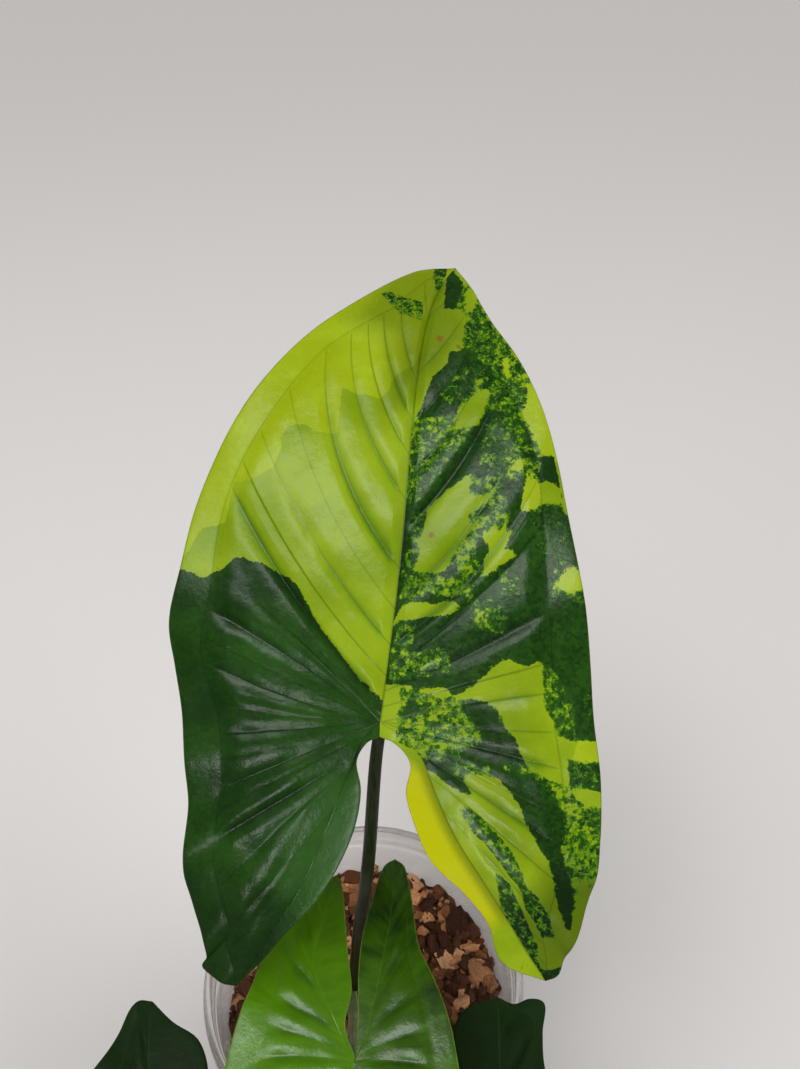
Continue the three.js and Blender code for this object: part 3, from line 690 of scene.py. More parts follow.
# Each outline lies on the flat blade, from the tip down the front, round the fan of veins at the
# sinus, down the lobe to the end of its rib, and up its inner side to the notch. A vein has its
# root, as a share of the midrib or minus a share of the lobe's rib, its end, counted along the
# outline, and how far it bows. The depths tell how deep each vein is sunk.
FRONT_VEINS = [(1, 0, 0), (0.78, 1.1, 0.02), (0.56, 2.1, 0.04), (0.36, 3, 0.05), (0.18, 4, 0.06)]
YOUNG_VEINS = [*FRONT_VEINS, (0.04, 5, 0.06), (0, 6, 0.04), (-0.04, 6.9, 0.03), (-0.15, 8, 0),
               (-0.34, 9.2, 0), (-0.58, 10.4, 0), (-0.8, 11.6, 0), (-1, 13, 0)]
SIDE_VEINS = [*FRONT_VEINS, (0.04, 5, 0.05), (0, 6.2, 0.03), (-0.1, 7.4, 0)]
SHORT_LOBE_VEINS = [*SIDE_VEINS, (-0.35, 9, 0), (-0.65, 10.6, 0), (-1, 12, 0)]
LONG_LOBE_VEINS = [*SIDE_VEINS, (-0.3, 8.6, 0), (-0.5, 9.8, 0), (-0.75, 11.4, 0), (-1, 13, 0)]
LEAVES["variegated"].update({
    "tip": (12, 146.5), "notch": (0.2, -4.2), "swing": 2.7,
    "left": {
        "lift": 1.5,
        "front": [(1.5, 143.5), (-14, 134.5), (-29, 121), (-44, 99.5), (-54, 79), (-60, 59), (-62, 39)],
        "fan": [(-63.5, 23), (-61, 11), (-57, -3), (-55, -16), (-54, -26)],
        "rib": [(-4, -4.5), (-6.5, -11), (-11.5, -25), (-15, -36), (-19, -47), (-25, -58), (-30, -68),
                (-37.5, -80.5)],
        "outer": [(-54, -34), (-54, -42), (-53.5, -50), (-51, -58), (-47.5, -65.5), (-46.2, -72),
                  (-48, -76.5), (-43, -79), (-37.5, -80.5)],
        "inner": [(-3.2, -6), (-5.7, -11), (-4, -19), (-5, -29.5), (-9, -41), (-15, -52), (-23, -62),
                  (-29.5, -71)],
        "veins": [(1, 0, 0), (0.86, 0.9, 0.04), (0.7, 1.35, 0.07), (0.61, 1.7, 0.08), (0.535, 2, 0.09),
                  (0.44, 2.3, 0.1), (0.3, 2.75, 0.11), (0.22, 3.6, 0.07), (0.15, 4.3, 0.05),
                  (0.09, 4.8, 0.045), (0.035, 5.2, 0.04), (0, 6.6, -0.03), (0, 7.35, -0.03), (0, 7.9, 0),
                  (0, 8.35, 0.04), (0, 9.5, 0.02), (0, 10.4, 0), (0, 11, 0.02), (0, 12.1, 0),
                  (-0.06, 13, 0), (-0.13, 14.1, 0), (-0.17, 16.2, -0.02), (-0.32, 17.8, 0),
                  (-0.52, 19.3, 0), (-0.76, 20.3, 0), (-1, 21, 0)],
        "puff": 1.5,
        "depths": [0, 0.5, 0.6, 0.8, 0.6, 0.8, 1.2, 0.15, 0.8, 0.15, 1, 0.15, 1.1, 0.15, 0.9, 0.15,
                   1.1, 0.15, 0.9, 0.2, 1.1, 0.4, 0.3, 0.2, 0.1, 0],
    },
    "right": {
        "lift": 5,
        "front": [(17, 138), (24, 126), (32, 114), (40, 97), (46, 79), (50, 62), (53.5, 46)],
        "fan": [(56, 34), (58, 20), (59.5, 5), (62, -10), (63.3, -24)],
        "rib": [(6, -3), (12, -8), (17, -18), (23, -29), (34, -44), (41, -54), (51, -68.5)],
        "outer": [(63.3, -31), (62.8, -36), (62, -41), (60.7, -47), (59, -53.5), (57, -59), (55.8, -62.5),
                  (54.5, -66), (51, -68.5)],
        "inner": [(5, -5.4), (9.5, -10), (9, -17.5), (12, -26), (17, -35), (26, -42.5), (33.5, -51),
                  (38, -61.5)],
        "veins": [(1, 0, 0), (0.86, 0.8, 0.04), (0.72, 1.3, 0.06), (0.6, 1.8, 0.07), (0.48, 2.3, 0.075),
                  (0.375, 2.9, 0.075), (0.23, 3.8, 0.085), (0.15, 4.7, 0.09), (0.1, 5.6, 0.05),
                  (0.06, 7.4, 0.02), (0.03, 8.7, 0), (0, 9.4, -0.02), (0, 10.2, 0), (0, 11, 0),
                  (-0.08, 12.3, 0), (-0.15, 13.9, 0), (-0.24, 16, -0.02), (-0.36, 18, -0.02),
                  (-0.6, 19.2, 0), (-0.8, 20.2, 0), (-1, 21, 0)],
        "depths": [0, 0.4, 0.5, 0.6, 0.6, 1.2, 0.9, 1.1, 0.6, 1, 0.2, 0.7, 0.2, 1, 0.2, 1, 0.5, 0.6,
                   0.3, 0.1, 0],
    },
})
LEAVES["young"].update({
    "tip": (0, 86), "swing": 0, "notch": (-0.3, -1.5),
    "left": {
        "lift": 0.8, "puff": 2.3,
        "front": [(-12, 78), (-22, 62), (-29, 45), (-32.5, 28), (-33.5, 14)],
        "fan": [(-31, 2), (-28, -11)],
        "rib": [(-3, -6), (-5, -15), (-7, -26), (-9, -40), (-9.7, -61)],
        "outer": [(-23.5, -22), (-18.5, -32), (-16.5, -43), (-14.5, -53), (-12.8, -58.7), (-9.7, -61)],
        "inner": [(-0.6, -11.5), (0.2, -23), (-0.2, -34), (-3, -47), (-6.3, -58.3)],
        "veins": YOUNG_VEINS,
    },
    "right": {
        "lift": -0.8, "puff": 2.3,
        "front": [(13, 78), (25, 62), (33, 44), (37, 26), (38, 12)],
        "fan": [(37, 2), (35, -10)],
        "rib": [(5, -8), (10, -16), (14.8, -25), (13, -38), (9.8, -54.5)],
        "outer": [(32.5, -18.5), (30, -28.5), (23, -39), (16, -47.5), (12.8, -52.5), (9.8, -54.5)],
        "inner": [(3.2, -9), (2, -19), (4, -29.5), (6, -42), (8, -51.5)],
        "veins": YOUNG_VEINS,
    },
})
LEAVES["side_left"].update({
    "tip": (0, 92), "swing": 0, "notch": (0, -3),
    "left": {
        "lift": 0.8,
        "front": [(-11, 84), (-23, 68), (-32, 49), (-37, 31), (-39, 15)],
        "fan": [(-38.5, 3), (-37, -8)],
        "rib": [(-7, -6), (-14, -15), (-20, -26), (-24, -34)],
        "outer": [(-35, -15), (-32.5, -21), (-30, -26.5), (-27.5, -31), (-24, -34)],
        "inner": [(-2.5, -8), (-5, -15), (-9, -22), (-15, -29)],
        "veins": SHORT_LOBE_VEINS,
    },
    "right": {
        "lift": 0.8,
        "front": [(12, 84), (25, 68), (34, 48), (39, 30), (41, 14)],
        "fan": [(40.5, 2), (39, -9)],
        "rib": [(9, -6), (20, -16), (29, -27), (34, -35.5)],
        "outer": [(38.2, -16), (38.7, -23), (39.4, -30), (38, -33.8), (34, -35.5)],
        "inner": [(2.5, -10), (3, -24), (12, -32.3), (23.5, -33.2)],
        "veins": SHORT_LOBE_VEINS,
    },
})
LEAVES["side_right"].update({
    "tip": (0, 96), "swing": 0, "notch": (0, -3),
    "left": {
        "lift": 0.8,
        "front": [(-12, 88), (-24, 71), (-31, 51), (-34, 32), (-34.5, 15)],
        "fan": [(-33, 2), (-30, -12)],
        "rib": [(-5, -10), (-12, -25), (-19, -40), (-24, -50.3)],
        "outer": [(-28, -24), (-33, -35), (-37.8, -42.5), (-33.5, -45.6), (-28.2, -46.4), (-24, -50.3)],
        "inner": [(-2, -10), (-2.5, -23), (-3, -36), (-5, -46), (-11, -51)],
        "veins": LONG_LOBE_VEINS,
    },
    "right": {
        "lift": 0.8,
        "front": [(12, 88), (25, 70), (33, 50), (37, 31), (38, 14)],
        "fan": [(37, 2), (35, -10)],
        "rib": [(6, -9), (13, -20), (20, -34), (24, -42)],
        "outer": [(33.5, -19), (32, -27), (30, -34), (28.5, -38), (27, -40.5), (24, -42)],
        "inner": [(2, -9), (4, -18), (8, -28), (13, -35), (18, -39.5)],
        "veins": LONG_LOBE_VEINS,
    },
})


def midrib_offset(leaf, q):
    """How far the midrib has swung sideways at q: a little over its first half, by a quarter of a
    sine wave, and then in a hook to the tip, by the tenth power of its share of the length."""
    share = np.clip(q / leaf["tip"][1], 0, 1)
    low = np.sin(np.pi / 2 * np.clip(2.4 * share, 0, 1))
    return leaf["swing"] * low + (leaf["tip"][0] - leaf["swing"]) * share ** 10


def column_places(leaf, side, per_vein):
    """Where the columns of one half lie, counted in veins: evenly between each two veins, and on
    the midrib also wherever the other half has one, so that both halves meet corner to corner."""
    shares = {each: np.array(leaf[each]["veins"], float)[:, 0] for each in ("left", "right")}
    places = {}
    for each, share in shares.items():
        last = len(share) - 1
        places[each] = np.linspace(0, last, last * per_vein + 1)
    other = "right" if side == "left" else "left"
    across = np.interp(places[other], np.arange(len(shares[other])), shares[other])
    on_midrib = np.argmax(shares[side] <= 0) + 1
    met = np.interp(-across[across > 0], -shares[side][:on_midrib], np.arange(on_midrib))
    return np.unique(np.round(np.concatenate([places[side], met]), 9))


def half_grid(leaf, side, per_vein, rows, inside):
    """One half of a flat sheet as a grid, or the inside of its lobe. Each column runs from a rib to
    the margin, and bows out by its share of its length, most in the middle. Rows go from 0 at the
    rib to 1 at the margin, and crowd a little at both. Gives the places, and for each the column
    counted in veins, the row, the column's width and its place along the margin."""
    half = leaf[side]
    rib = [(0, 0), *half["rib"]]
    margin = [leaf["tip"], *half["front"], *half["fan"], *half["outer"]]
    u = column_places(leaf, side, per_vein)
    knots = np.arange(len(half["veins"]))
    share, order, bow = (np.interp(u, knots, column) for column in np.array(half["veins"], float).T)
    if inside:
        margin = [leaf["notch"], *half["inner"], half["rib"][-1]]
        share = np.unique(np.minimum(share, 0))[::-1]
        u = order = -share * (len(half["inner"]) + 1)
        bow = np.zeros(len(share))
    up = np.clip(share, 0, 1) * leaf["tip"][1]
    on_midrib = np.stack([midrib_offset(leaf, up), up], -1)
    root = np.where(share[:, None] >= 0, on_midrib, evenly_along(rib, np.clip(-share, 0, 1)))
    end = curve_through(margin, order)
    reach = end - root
    width = np.linalg.norm(reach, axis=1)
    t = np.linspace(0, 1, rows + 1)
    s = t - 0.6 * np.sin(2 * np.pi * t) / (2 * np.pi)
    sign = 1 if side == "left" else -1
    sideways = sign * np.stack([-reach[:, 1], reach[:, 0]], -1)
    swell = (4 * s * (1 - s))[None, :, None] * bow[:, None, None]
    flat = root[:, None] + s[None, :, None] * reach[:, None] + swell * sideways[:, None]
    grid = np.broadcast_arrays(u[:, None], s[None], width[:, None], order[:, None])
    return flat, *grid


def valleys(half, u, from_rib, order, spacing):
    """How deep each point is sunk in the valleys of the two veins beside it, as a share of a puff.
    A valley is a bell curve of the gap to its vein, with a sharper exponential floor. In front of
    the fan it fades out along the vein, a deep one later, and in the fan a weak one starts later."""
    depths = np.asarray(half.get("depths", np.ones(len(half["veins"]))))
    before = np.minimum(np.floor(u), len(depths) - 2).astype(int)
    past = u - before
    breadth = 1.0 + 0.16 * spacing
    sunk = 0
    for depth, gap in ((depths[before], past), (depths[before + 1], 1 - past)):
        reach = np.where(order < FRONT_END, 16 + 36 * depth, 300)
        begins = np.where(order > FAN_START, WEAK_DELAY * np.clip(1 - depth, 0, 1), 0)
        along = np.exp(-(from_rib / reach) ** 2) * np.clip((from_rib - begins) / 5, 0, 1)
        bell = np.exp(-(gap * spacing / breadth) ** 2)
        floor = np.exp(-gap * spacing / 0.7)
        sunk = sunk + depth * along * (0.7 * bell + 0.3 * floor)
    return sunk


def sheet(leaf, half, flat, u, s, width, order, inside):
    """The height of one half above the flat sheet, the gap between its veins, how far inside its
    looped vein each point lies, and how deep it is sunk. The height is a fold up from the midrib
    less a droop by the square, with a wave at the margin, puffs between the veins, a groove on the
    looped vein and a fine cockle. The inside of a lobe is smooth and lifts off the rib."""
    p, q = flat[..., 0], flat[..., 1]
    aside = np.abs(p - midrib_offset(leaf, q))
    height = FOLD * aside - DROOP * aside ** 2
    spacing = np.linalg.norm(np.gradient(flat, axis=0), axis=-1) / np.gradient(u[:, 0])[:, None]
    from_rib = s * width
    to_margin = (1 - s) * width
    if inside:
        lift = half["lift"] * s * np.minimum(width / 10, 1) * np.minimum(u, 1)
        return height + lift, spacing, -to_margin - 5, np.zeros(u.shape)
    loop = to_margin - np.minimum(LOOP_INSET, 0.24 * width)
    within = np.clip(loop / 7, 0, 1)
    broad = np.minimum(width / 30, 1)
    sunk = valleys(half, u, from_rib, order, spacing)
    rise = np.clip(from_rib / np.where(order > FAN_START, RIDGE_RISE, 4), 0, 1)
    puff = half.get("puff", PUFF) * (1 - sunk) * np.minimum(spacing / 10, 1) ** 1.5 * rise
    wave = leaf["wave"] * s ** 3 * np.sin(1.9 * order) * broad
    groove = 0.16 * np.exp(-loop ** 2) * broad
    cockle = 0.13 * np.sin(p / 2.3 + 1.7 * np.sin(q / 7.1)) * np.sin(q / 2.9 + 1.9 * np.sin(p / 6.3))
    height = height + wave - groove + (puff + cockle) * within
    return height, spacing, loop, sunk * np.minimum(spacing / 8, 1) * within


def four_grids(leaf, per_vein, rows):
    """The grids of a blade's two halves and of the insides of its two lobes, one after the other:
    a row of each value for all corners, and triangles by corner number."""
    parts, triangles = [], []
    start = 0
    for side in ("left", "right"):
        for inside in (False, True):
            flat, u, s, width, order = half_grid(leaf, side, per_vein, rows[inside], inside)
            height, spacing, loop, sunk = sheet(leaf, leaf[side], flat, u, s, width, order, inside)
            corner = start + np.arange(u.size).reshape(u.shape)
            a, b, c, d = corner[:-1, :-1], corner[:-1, 1:], corner[1:, 1:], corner[1:, :-1]
            pairs = np.stack([a, b, c, a, c, d], -1).reshape(-1, 3)
            upright = (side == "left") != inside
            triangles.append(pairs if upright else pairs[:, ::-1])
            parts.append({
                "p": flat[..., 0],
                "q": flat[..., 1],
                "height": height,
                "across": u * VEIN_WIDTH * (1 if side == "right" else -1) + INSIDE_SHIFT * inside,
                "from_rib": s * width,
                "to_margin": (1 - s) * width,
                "loop": loop,
                "off_vein": np.abs(u - np.round(u)) * spacing + 9 * inside,
                "sunk": sunk,
                "right": np.full(u.shape, side == "right"),
                "inside": np.full(u.shape, inside),
            })
            start += u.size
    values = {name: np.concatenate([part[name].ravel() for part in parts]) for name in parts[0]}
    return values, np.vstack(triangles)


def edge_wall(shared, triangles, count):
    """Two triangles down each free edge of a sheet, which is an edge of one triangle alone. Gives
    them by welded corner, where the lower ones come a count later, and by corner of the grids."""
    edges = shared[:, [0, 1, 1, 2, 2, 0]].reshape(-1, 2)
    owners = triangles[:, [0, 1, 1, 2, 2, 0]].reshape(-1, 2)
    _, back, uses = np.unique(np.sort(edges, axis=1), axis=0, return_inverse=True, return_counts=True)
    free = uses[back.ravel()] == 1
    start, end = edges[free].T
    start_at, end_at = owners[free].T
    wall = np.vstack([
        np.stack([start, end + count, end], -1),
        np.stack([start, start + count, end + count], -1),
    ])
    wall_at = np.vstack([
        np.stack([start_at, end_at, end_at], -1),
        np.stack([start_at, start_at, end_at], -1),
    ])
    return wall, wall_at


def blade_mesh(leaf, per_vein, rows):
    """A closed blade: the four grids welded where they meet, a face above and one below, and a wall
    along the free edge. Below, a keel follows the ribs and the veins, each a bell curve of the
    distance to it, and the edge is thinner. Gives points, triangles, and the values that the
    finish reads for each corner of a triangle."""
    values, triangles = four_grids(leaf, per_vein, rows)
    places = np.round(np.stack([values["p"], values["q"]], -1) + WELD_SHIFT, 3)
    _, first, welded = np.unique(places, axis=0, return_index=True, return_inverse=True)
    shared = welded.ravel()[triangles]
    whole = (np.diff(np.sort(shared, axis=1), axis=1) > 0).all(1)
    triangles, shared = triangles[whole], shared[whole]
    at = {name: column[first] for name, column in values.items()}
    p, q, height = at["p"], at["q"], at["height"]
    aside = np.abs(p - midrib_offset(leaf, q))
    from_rib = np.where(q > 0, np.minimum(aside, at["from_rib"]), at["from_rib"])
    slim = np.clip(1.05 - np.abs(q) / leaf["tip"][1], 0.15, 1)
    keel = KEEL * slim * np.exp(-(from_rib / KEEL_WIDTH) ** 2)
    vein_keel = 0.3 * np.exp(-(at["off_vein"] / 0.8) ** 2) * np.clip(at["loop"] / 12, 0, 1)
    thick = BLADE_THICKNESS / 2 * (1 - 0.45 * np.exp(-at["to_margin"] / 0.7))
    above = on_leaf(leaf, p, q, height + thick)
    below = on_leaf(leaf, p, q, height - thick - np.maximum(keel, vein_keel))
    wall, wall_at = edge_wall(shared, triangles, len(first))
    faces = np.vstack([shared, shared[:, ::-1] + len(first), wall])
    corners = np.concatenate([triangles.ravel(), triangles[:, ::-1].ravel(), wall_at.ravel()])
    read = {name: column[corners] for name, column in values.items()}
    read["under"] = np.repeat([0.0, 1.0, 0.0], [triangles.size, triangles.size, wall_at.size])
    return np.vstack([above, below]), faces, read


def outline_distance(outline, p, q):
    """How far inside a closed outline each point lies, in millimetres, and minus how far outside:
    the least distance to a side, signed by how often a line to the right crosses the outline."""
    a = np.asarray(outline, float)
    b = np.roll(a, -1, axis=0)
    edge = b - a
    from_a = np.stack([p, q], -1)[:, None] - a
    along = np.clip((from_a * edge).sum(-1) / (edge ** 2).sum(-1), 0, 1)
    gap = np.linalg.norm(from_a - along[..., None] * edge, axis=-1).min(1)
    level = (a[:, 1] > q[:, None]) != (b[:, 1] > q[:, None])
    rise = np.where(edge[:, 1] == 0, 1e-9, edge[:, 1])
    crossed = level & (p[:, None] < edge[:, 0] * (q[:, None] - a[:, 1]) / rise + a[:, 0])
    return np.where(crossed.sum(1) % 2 == 1, gap, -gap)


# The marbling of the big blade, in millimetres on its flat sheet. Sap green fills the lower left
# quarter and most of the right half, and the rest has lost its green to lime and yellow. The edge
# between them is finely ragged, and in many places it breaks up into flecks of all sizes.

# The sets named LEFT lie on the left half, the patches of pigment, shade and sheen and the rust specks
# on both, and the others on the right. The sets named IN hold an outline and a level of green for each
# patch of flecks: the higher, the greener, and about 0 is half and half. The patches of pigment, shade
# and sheen hold the share by which the colour darkens, partly with deeper pigment and partly with
# painted shade where the lobes turn down from the light; below 0 the colour lightens to a painted grey
# green sheen. The rust specks hold a middle and a radius.
LEFT_GREEN = [(-75, 38), (-60, 39), (-54, 37), (-52, 39), (-49, 40), (-45, 44), (-40, 43), (-36, 42),
              (-30, 39), (-27, 38), (-20, 27), (-13, 19), (-6, 11), (-4, 10.5), (-3, 8.5), (-1, 8),
              (1, 5), (3, 0), (3, -90), (-75, -90)]
LEFT_LIME = [(-75, 42), (-61, 43), (-57, 52), (-50, 54), (-49, 66), (-43, 67), (-37, 71), (-35, 77),
             (-36, 80), (-34, 84), (-29, 85), (-26, 83), (-19, 83), (-19.5, 98), (-14, 96), (-8, 95),
             (-5, 98), (-4, 103), (2, 108), (14, 150), (14, 0), (-75, 0)]
RIGHT_LIME = {
    "tip_strip": [(-3, 84), (3, 87), (6, 97), (8, 104), (12, 108), (12, 112), (17, 113), (17, 121),
                  (18, 126), (15, 129), (10, 129), (10, 141), (8, 143), (7, 137), (-3, 133)],
    "tip_margin": [(15, 139), (21, 134), (19, 127), (16, 127)],
    "margin_top": [(28, 112), (31, 113), (32, 104), (30, 103), (28.5, 107)],
    "upper_patch": [(15, 86), (16, 92), (20, 98), (26, 101), (25, 94), (22, 88), (20, 86.5)],
    "fleck_high": [(20, 101), (22, 104), (24, 104), (22, 100)],
    "fleck_mid": [(28, 94), (29, 97), (31, 97), (31, 94)],
    "margin_long": [(35, 103), (39, 103), (43, 94), (46, 84), (46, 80), (41, 79), (39, 83), (37, 88),
                    (34, 92), (36, 97)],
    "fleck_low": [(30, 74), (34, 78), (38, 78), (36, 73)],
    "margin_patch": [(36, 62), (37, 73), (40, 73), (41, 71), (44, 72), (48, 70), (48, 65), (43, 65),
                     (40, 63)],
    "big_patch": [(6, 43), (8, 50), (5, 52), (8, 54), (9, 60), (9, 62), (16, 69), (22, 73.5), (21.5, 67),
                  (26, 67.5), (29, 70), (28, 64), (22, 61), (23, 56), (19, 50), (16, 44), (12, 42.5)],
    "slim_patch": [(24.5, 55), (29, 57), (34, 56.5), (32, 51), (36, 50), (31, 46), (27, 43), (26, 47),
                   (28, 51)],
    "low_streak": [(1, 27), (4, 33), (8, 35), (13, 34), (18, 36), (21, 34), (18, 31.5), (11, 30.5),
                   (5, 29)],
    "low_fleck": [(24, 31), (26, 35), (29, 33), (28, 30)],
    "sinus_fleck": [(9, 16), (13, 19), (17, 20.5), (17, 18.5), (12, 16)],
    "margin_low": [(46, 42), (50, 48), (55, 47), (55, 40), (50, 39)],
    "lower_lobe": [(-3, 9), (2, 11), (8, 11), (10, 9.5), (14, 11), (18, 11.5), (21, 9), (25, 12),
                   (30, 17), (33, 20.5), (36, 20.5), (40, 19), (44, 20.5), (46, 18), (46, 10), (50, 5),
                   (50, 1), (54, 0), (58, 0), (80, 2), (80, -90), (-3, -90)],
}
RIGHT_GREEN = {
    "tip": [(9.5, 141), (12, 147.5), (14.5, 141), (13.5, 128.5), (9.5, 128.5)],
    "tip_line": [(5.5, 134), (6, 147), (8.5, 147), (7.5, 141)],
    "near_sinus": [(6, 0.5), (6, 3), (7, 7), (9, 8), (11, 6.5), (15, 6), (16, 3.5), (12, 5), (11, 3),
                   (8, 2)],
    "lobe_top": [(22, 6), (25, 9), (30, 8), (33, 6.5), (35, 2), (38, -1), (40, -5), (42, -8.5),
                 (36, -7.5), (34, -9.5), (28, -9.5), (20, -7.5), (21, -5.5), (27, -4.5), (29, -1),
                 (26, 2)],
    "along_rib": [(12, -8.5), (16, -9), (19, -8), (22, -12), (25, -14), (27, -17), (24, -17),
                  (19, -14.5), (16, -12.5), (13, -11)],
    "long_streak": [(30, -9.5), (38, -9), (44, -10), (47, -13), (50, -16), (53, -20), (54, -25),
                    (53, -30), (55, -36), (57, -42), (57.5, -47), (56.5, -52.5), (55, -52), (53, -47),
                    (51, -40), (49, -33), (45, -28), (42, -23), (40, -18), (35, -13)],
}
YELLOW = [
    [(28, 113), (33, 113), (33, 102), (28, 102)], [(33, 106), (50, 106), (50, 78), (38, 78)],
    [(35, 61), (35, 74), (41, 74), (42, 61)], [(44, 37), (44, 50), (58, 50), (58, 37)],
    [(27, 72), (35, 80), (37, 72)], [(56, 2), (80, 2), (80, -12), (53, -8)],
]
IN_GREEN = [
    ([(26, 108), (30, 119), (40, 105), (46, 90), (38, 84), (35, 92), (30, 100)], -0.6),
    ([(13, 130), (16, 138), (22, 136), (28, 126), (24, 122), (19, 126)], -0.2),
    ([(11, 116), (14, 138), (24, 136), (35, 116), (34, 100), (26, 104), (20, 111)], 0.25),
    ([(6, 95), (14, 108), (24, 109), (24, 101), (14, 92)], 1.1),
    ([(1, 61), (1, 90), (14, 92), (22, 86), (14, 74), (8, 64)], 0.1),
    ([(24, 95), (27, 112), (33, 108), (36, 99), (34, 90), (24, 92)], 0.2),
    ([(24, 90), (34, 92), (44, 79), (40, 72), (22, 74)], 0.6),
    ([(29, 72), (31, 80), (40, 78), (41, 72), (35, 70)], -0.2),
    ([(21, 72), (31, 74), (34, 60), (22, 62)], 0.1),
    ([(2, 40), (4, 62), (9, 62), (7, 44)], 0.5),
    ([(20, 61), (34, 62), (33, 56), (24, 56), (26, 42), (18, 42), (17, 47)], -0.45),
    ([(37, 62), (46, 66), (52, 60), (50, 46), (42, 50)], 1.3),
    ([(45, 48), (57, 50), (57, 36), (45, 38)], 0.4),
    ([(30, 46), (38, 46), (39, 38), (30, 37)], 0.2),
    ([(23, 37), (31, 38), (36, 34), (33, 26), (22, 28)], 0.5),
    ([(2, 34), (4, 43), (16, 43), (26, 42), (24, 36), (12, 36)], -0.35),
    ([(1, 21), (3, 29), (9, 29), (9, 22)], -0.2),
    ([(1, 11), (1, 22), (8, 22), (19, 23), (20, 15), (8, 12)], 0.1),
]
IN_LIME = [
    ([(44, 20), (49, 18), (55, 8), (55, 0), (50, 1), (46, 8)], 0.2),
    ([(55, 14), (66, 14), (66, 2), (57, 2)], 1.4),
    ([(52, -5), (53, -14), (66, -15), (66, -5)], 0.9),
    ([(36, -1), (41, -9), (52, -11), (58, -17), (53, -22), (44, -14), (34, -8)], 0.1),
    ([(4, 0), (5, 10), (18, 9), (27, 8), (29, -3), (20, -8), (14, -9), (4, -5)], -0.55),
    ([(16, -6), (32, -7), (33, -12), (22, -13), (14, -9)], 0.3),
    ([(51, -13), (60, -18), (61, -36), (57, -46), (53, -34)], -0.5),
    ([(57, -17), (66, -17), (66, -42), (60, -42), (58, -30)], 0.1),
    ([(22, -20), (27, -20), (34, -25), (40, -31), (44, -38), (43, -44), (38, -39), (32, -32),
      (26, -27)], 0.1),
    ([(33, -35), (40, -40), (45, -50), (49, -58), (50, -66), (44, -68), (40, -58), (36, -48)], 0.5),
    ([(41, -38), (47, -42), (51, -48), (54, -56), (49, -58), (46, -52), (42, -46)], 0.6),
    ([(46, -62), (50, -64), (57, -63), (56, -70), (46, -72)], 1.2),
]
LEFT_IN_LIME = [
    ([(-13, 134), (-9, 136), (4, 131), (4, 122), (-4, 124)], -0.1),
    ([(3, 148), (11, 148), (9, 136), (5, 134)], 0.1),
]
# Darker pigment with painted shade where the lobes turn from the light, and painted sheen below 0.
PIGMENT_SHADE_SHEEN = [
    ([(26, -50), (44, -44), (50, -38), (66, -36), (66, -80), (26, -80)], 0.8),
    ([(24, -12), (36, -12), (46, -34), (36, -34)], 0.25),
    ([(-4, 94), (3, 100), (20, 116), (16, 132), (8, 150), (-10, 142), (-20, 124), (-6, 116)], 0.55),
    ([(26, 4), (44, 20), (40, 2), (34, -4)], 0.3),
    ([(-60, -50), (-20, -50), (-10, -95), (-60, -95)], 0.5),
    ([(-16, -14), (6, -14), (6, -60), (-30, -60)], -0.5),
]
PLAIN_FLECKS = 0.22
GREEN_FLECKS = 0.55
MOTTLED_FLECKS = 1.15
MOTTLED_GREEN = 2.4
LIME_EDGE = 1.3
LIME_EDGE_START = 62.0
STRIP_START = -8.0
STRIP_END = -54.0
RUST = [(-32, 119, 1.3), (-37, 112, 0.9), (9, 117, 1.3), (15, 114, 1.0), (11, 54, 1.1), (51, 47, 1.3)]


def marbling(values):
    """The depth of green, of paleness and of the flecks at each corner, and how near it is to rust.
    Patches are laid on in turn. A plain one takes the depth to the distance inside its outline, less
    than nothing for lime, and a flecked one takes it to a level that gives its share of green."""
    p, q, right = values["p"], values["q"], values["right"]
    green = np.where(right, 6.0, outline_distance(LEFT_GREEN, p, q))
    flecks = np.full(len(p), PLAIN_FLECKS)

    def flecked(patches, here):
        for outline, level in patches:
            within = np.clip(outline_distance(outline, p, q) / 2 + 0.5, 0, 1) * here
            green[:] += (level - green) * within
            flecks[:] = np.maximum(flecks, MOTTLED_FLECKS * within)

    def plain(patches, sign):
        for outline in patches.values():
            depth = outline_distance(outline, p, q)
            green[:] = np.where(right, np.maximum(sign * green, depth) * sign, green)
            flecks[:] += (PLAIN_FLECKS - flecks) * np.clip(depth / 1.5, 0, 1) * right

    flecked(LEFT_IN_LIME, ~right)
    flecked(IN_GREEN, right)
    plain(RIGHT_LIME, -1)
    flecked(IN_LIME, right)
    plain(RIGHT_GREEN, 1)
    off_edge = values["to_margin"] - LIME_EDGE + 9 * (q < LIME_EDGE_START)
    green = np.where(right, np.minimum(np.minimum(green, MOTTLED_GREEN), off_edge), green)
    flecks = np.where(right & (green > 0.5), np.maximum(flecks, GREEN_FLECKS), flecks)
    strip = right & values["inside"] & (q < STRIP_START)
    green = np.where(strip, np.minimum(green, -3), green)
    turned_up = strip * np.clip((q - STRIP_END) / 5, 0, 1) * np.clip((STRIP_START - q) / 5, 0, 1)
    yellow = np.max([outline_distance(outline, p, q) for outline in YELLOW], axis=0)
    pale = np.where(right, yellow, -outline_distance(LEFT_LIME, p, q))
    # Darker pigment and painted shade, and a painted sheen where the share is below 0.
    deeper = np.zeros(len(p))
    for outline, share in PIGMENT_SHADE_SHEEN:
        deeper += share * np.clip(outline_distance(outline, p, q) / 10 + 0.5, 0, 1)
    rust = np.max([radius - np.hypot(p - x, q - y) for x, y, radius in RUST], axis=0)
    return {
        "green": green, "flecks": flecks, "pale": np.clip(pale, -6, 6), "rust": np.clip(rust, -4, 4),
        "turned_up": turned_up, "deeper": deeper * ~strip,
    }


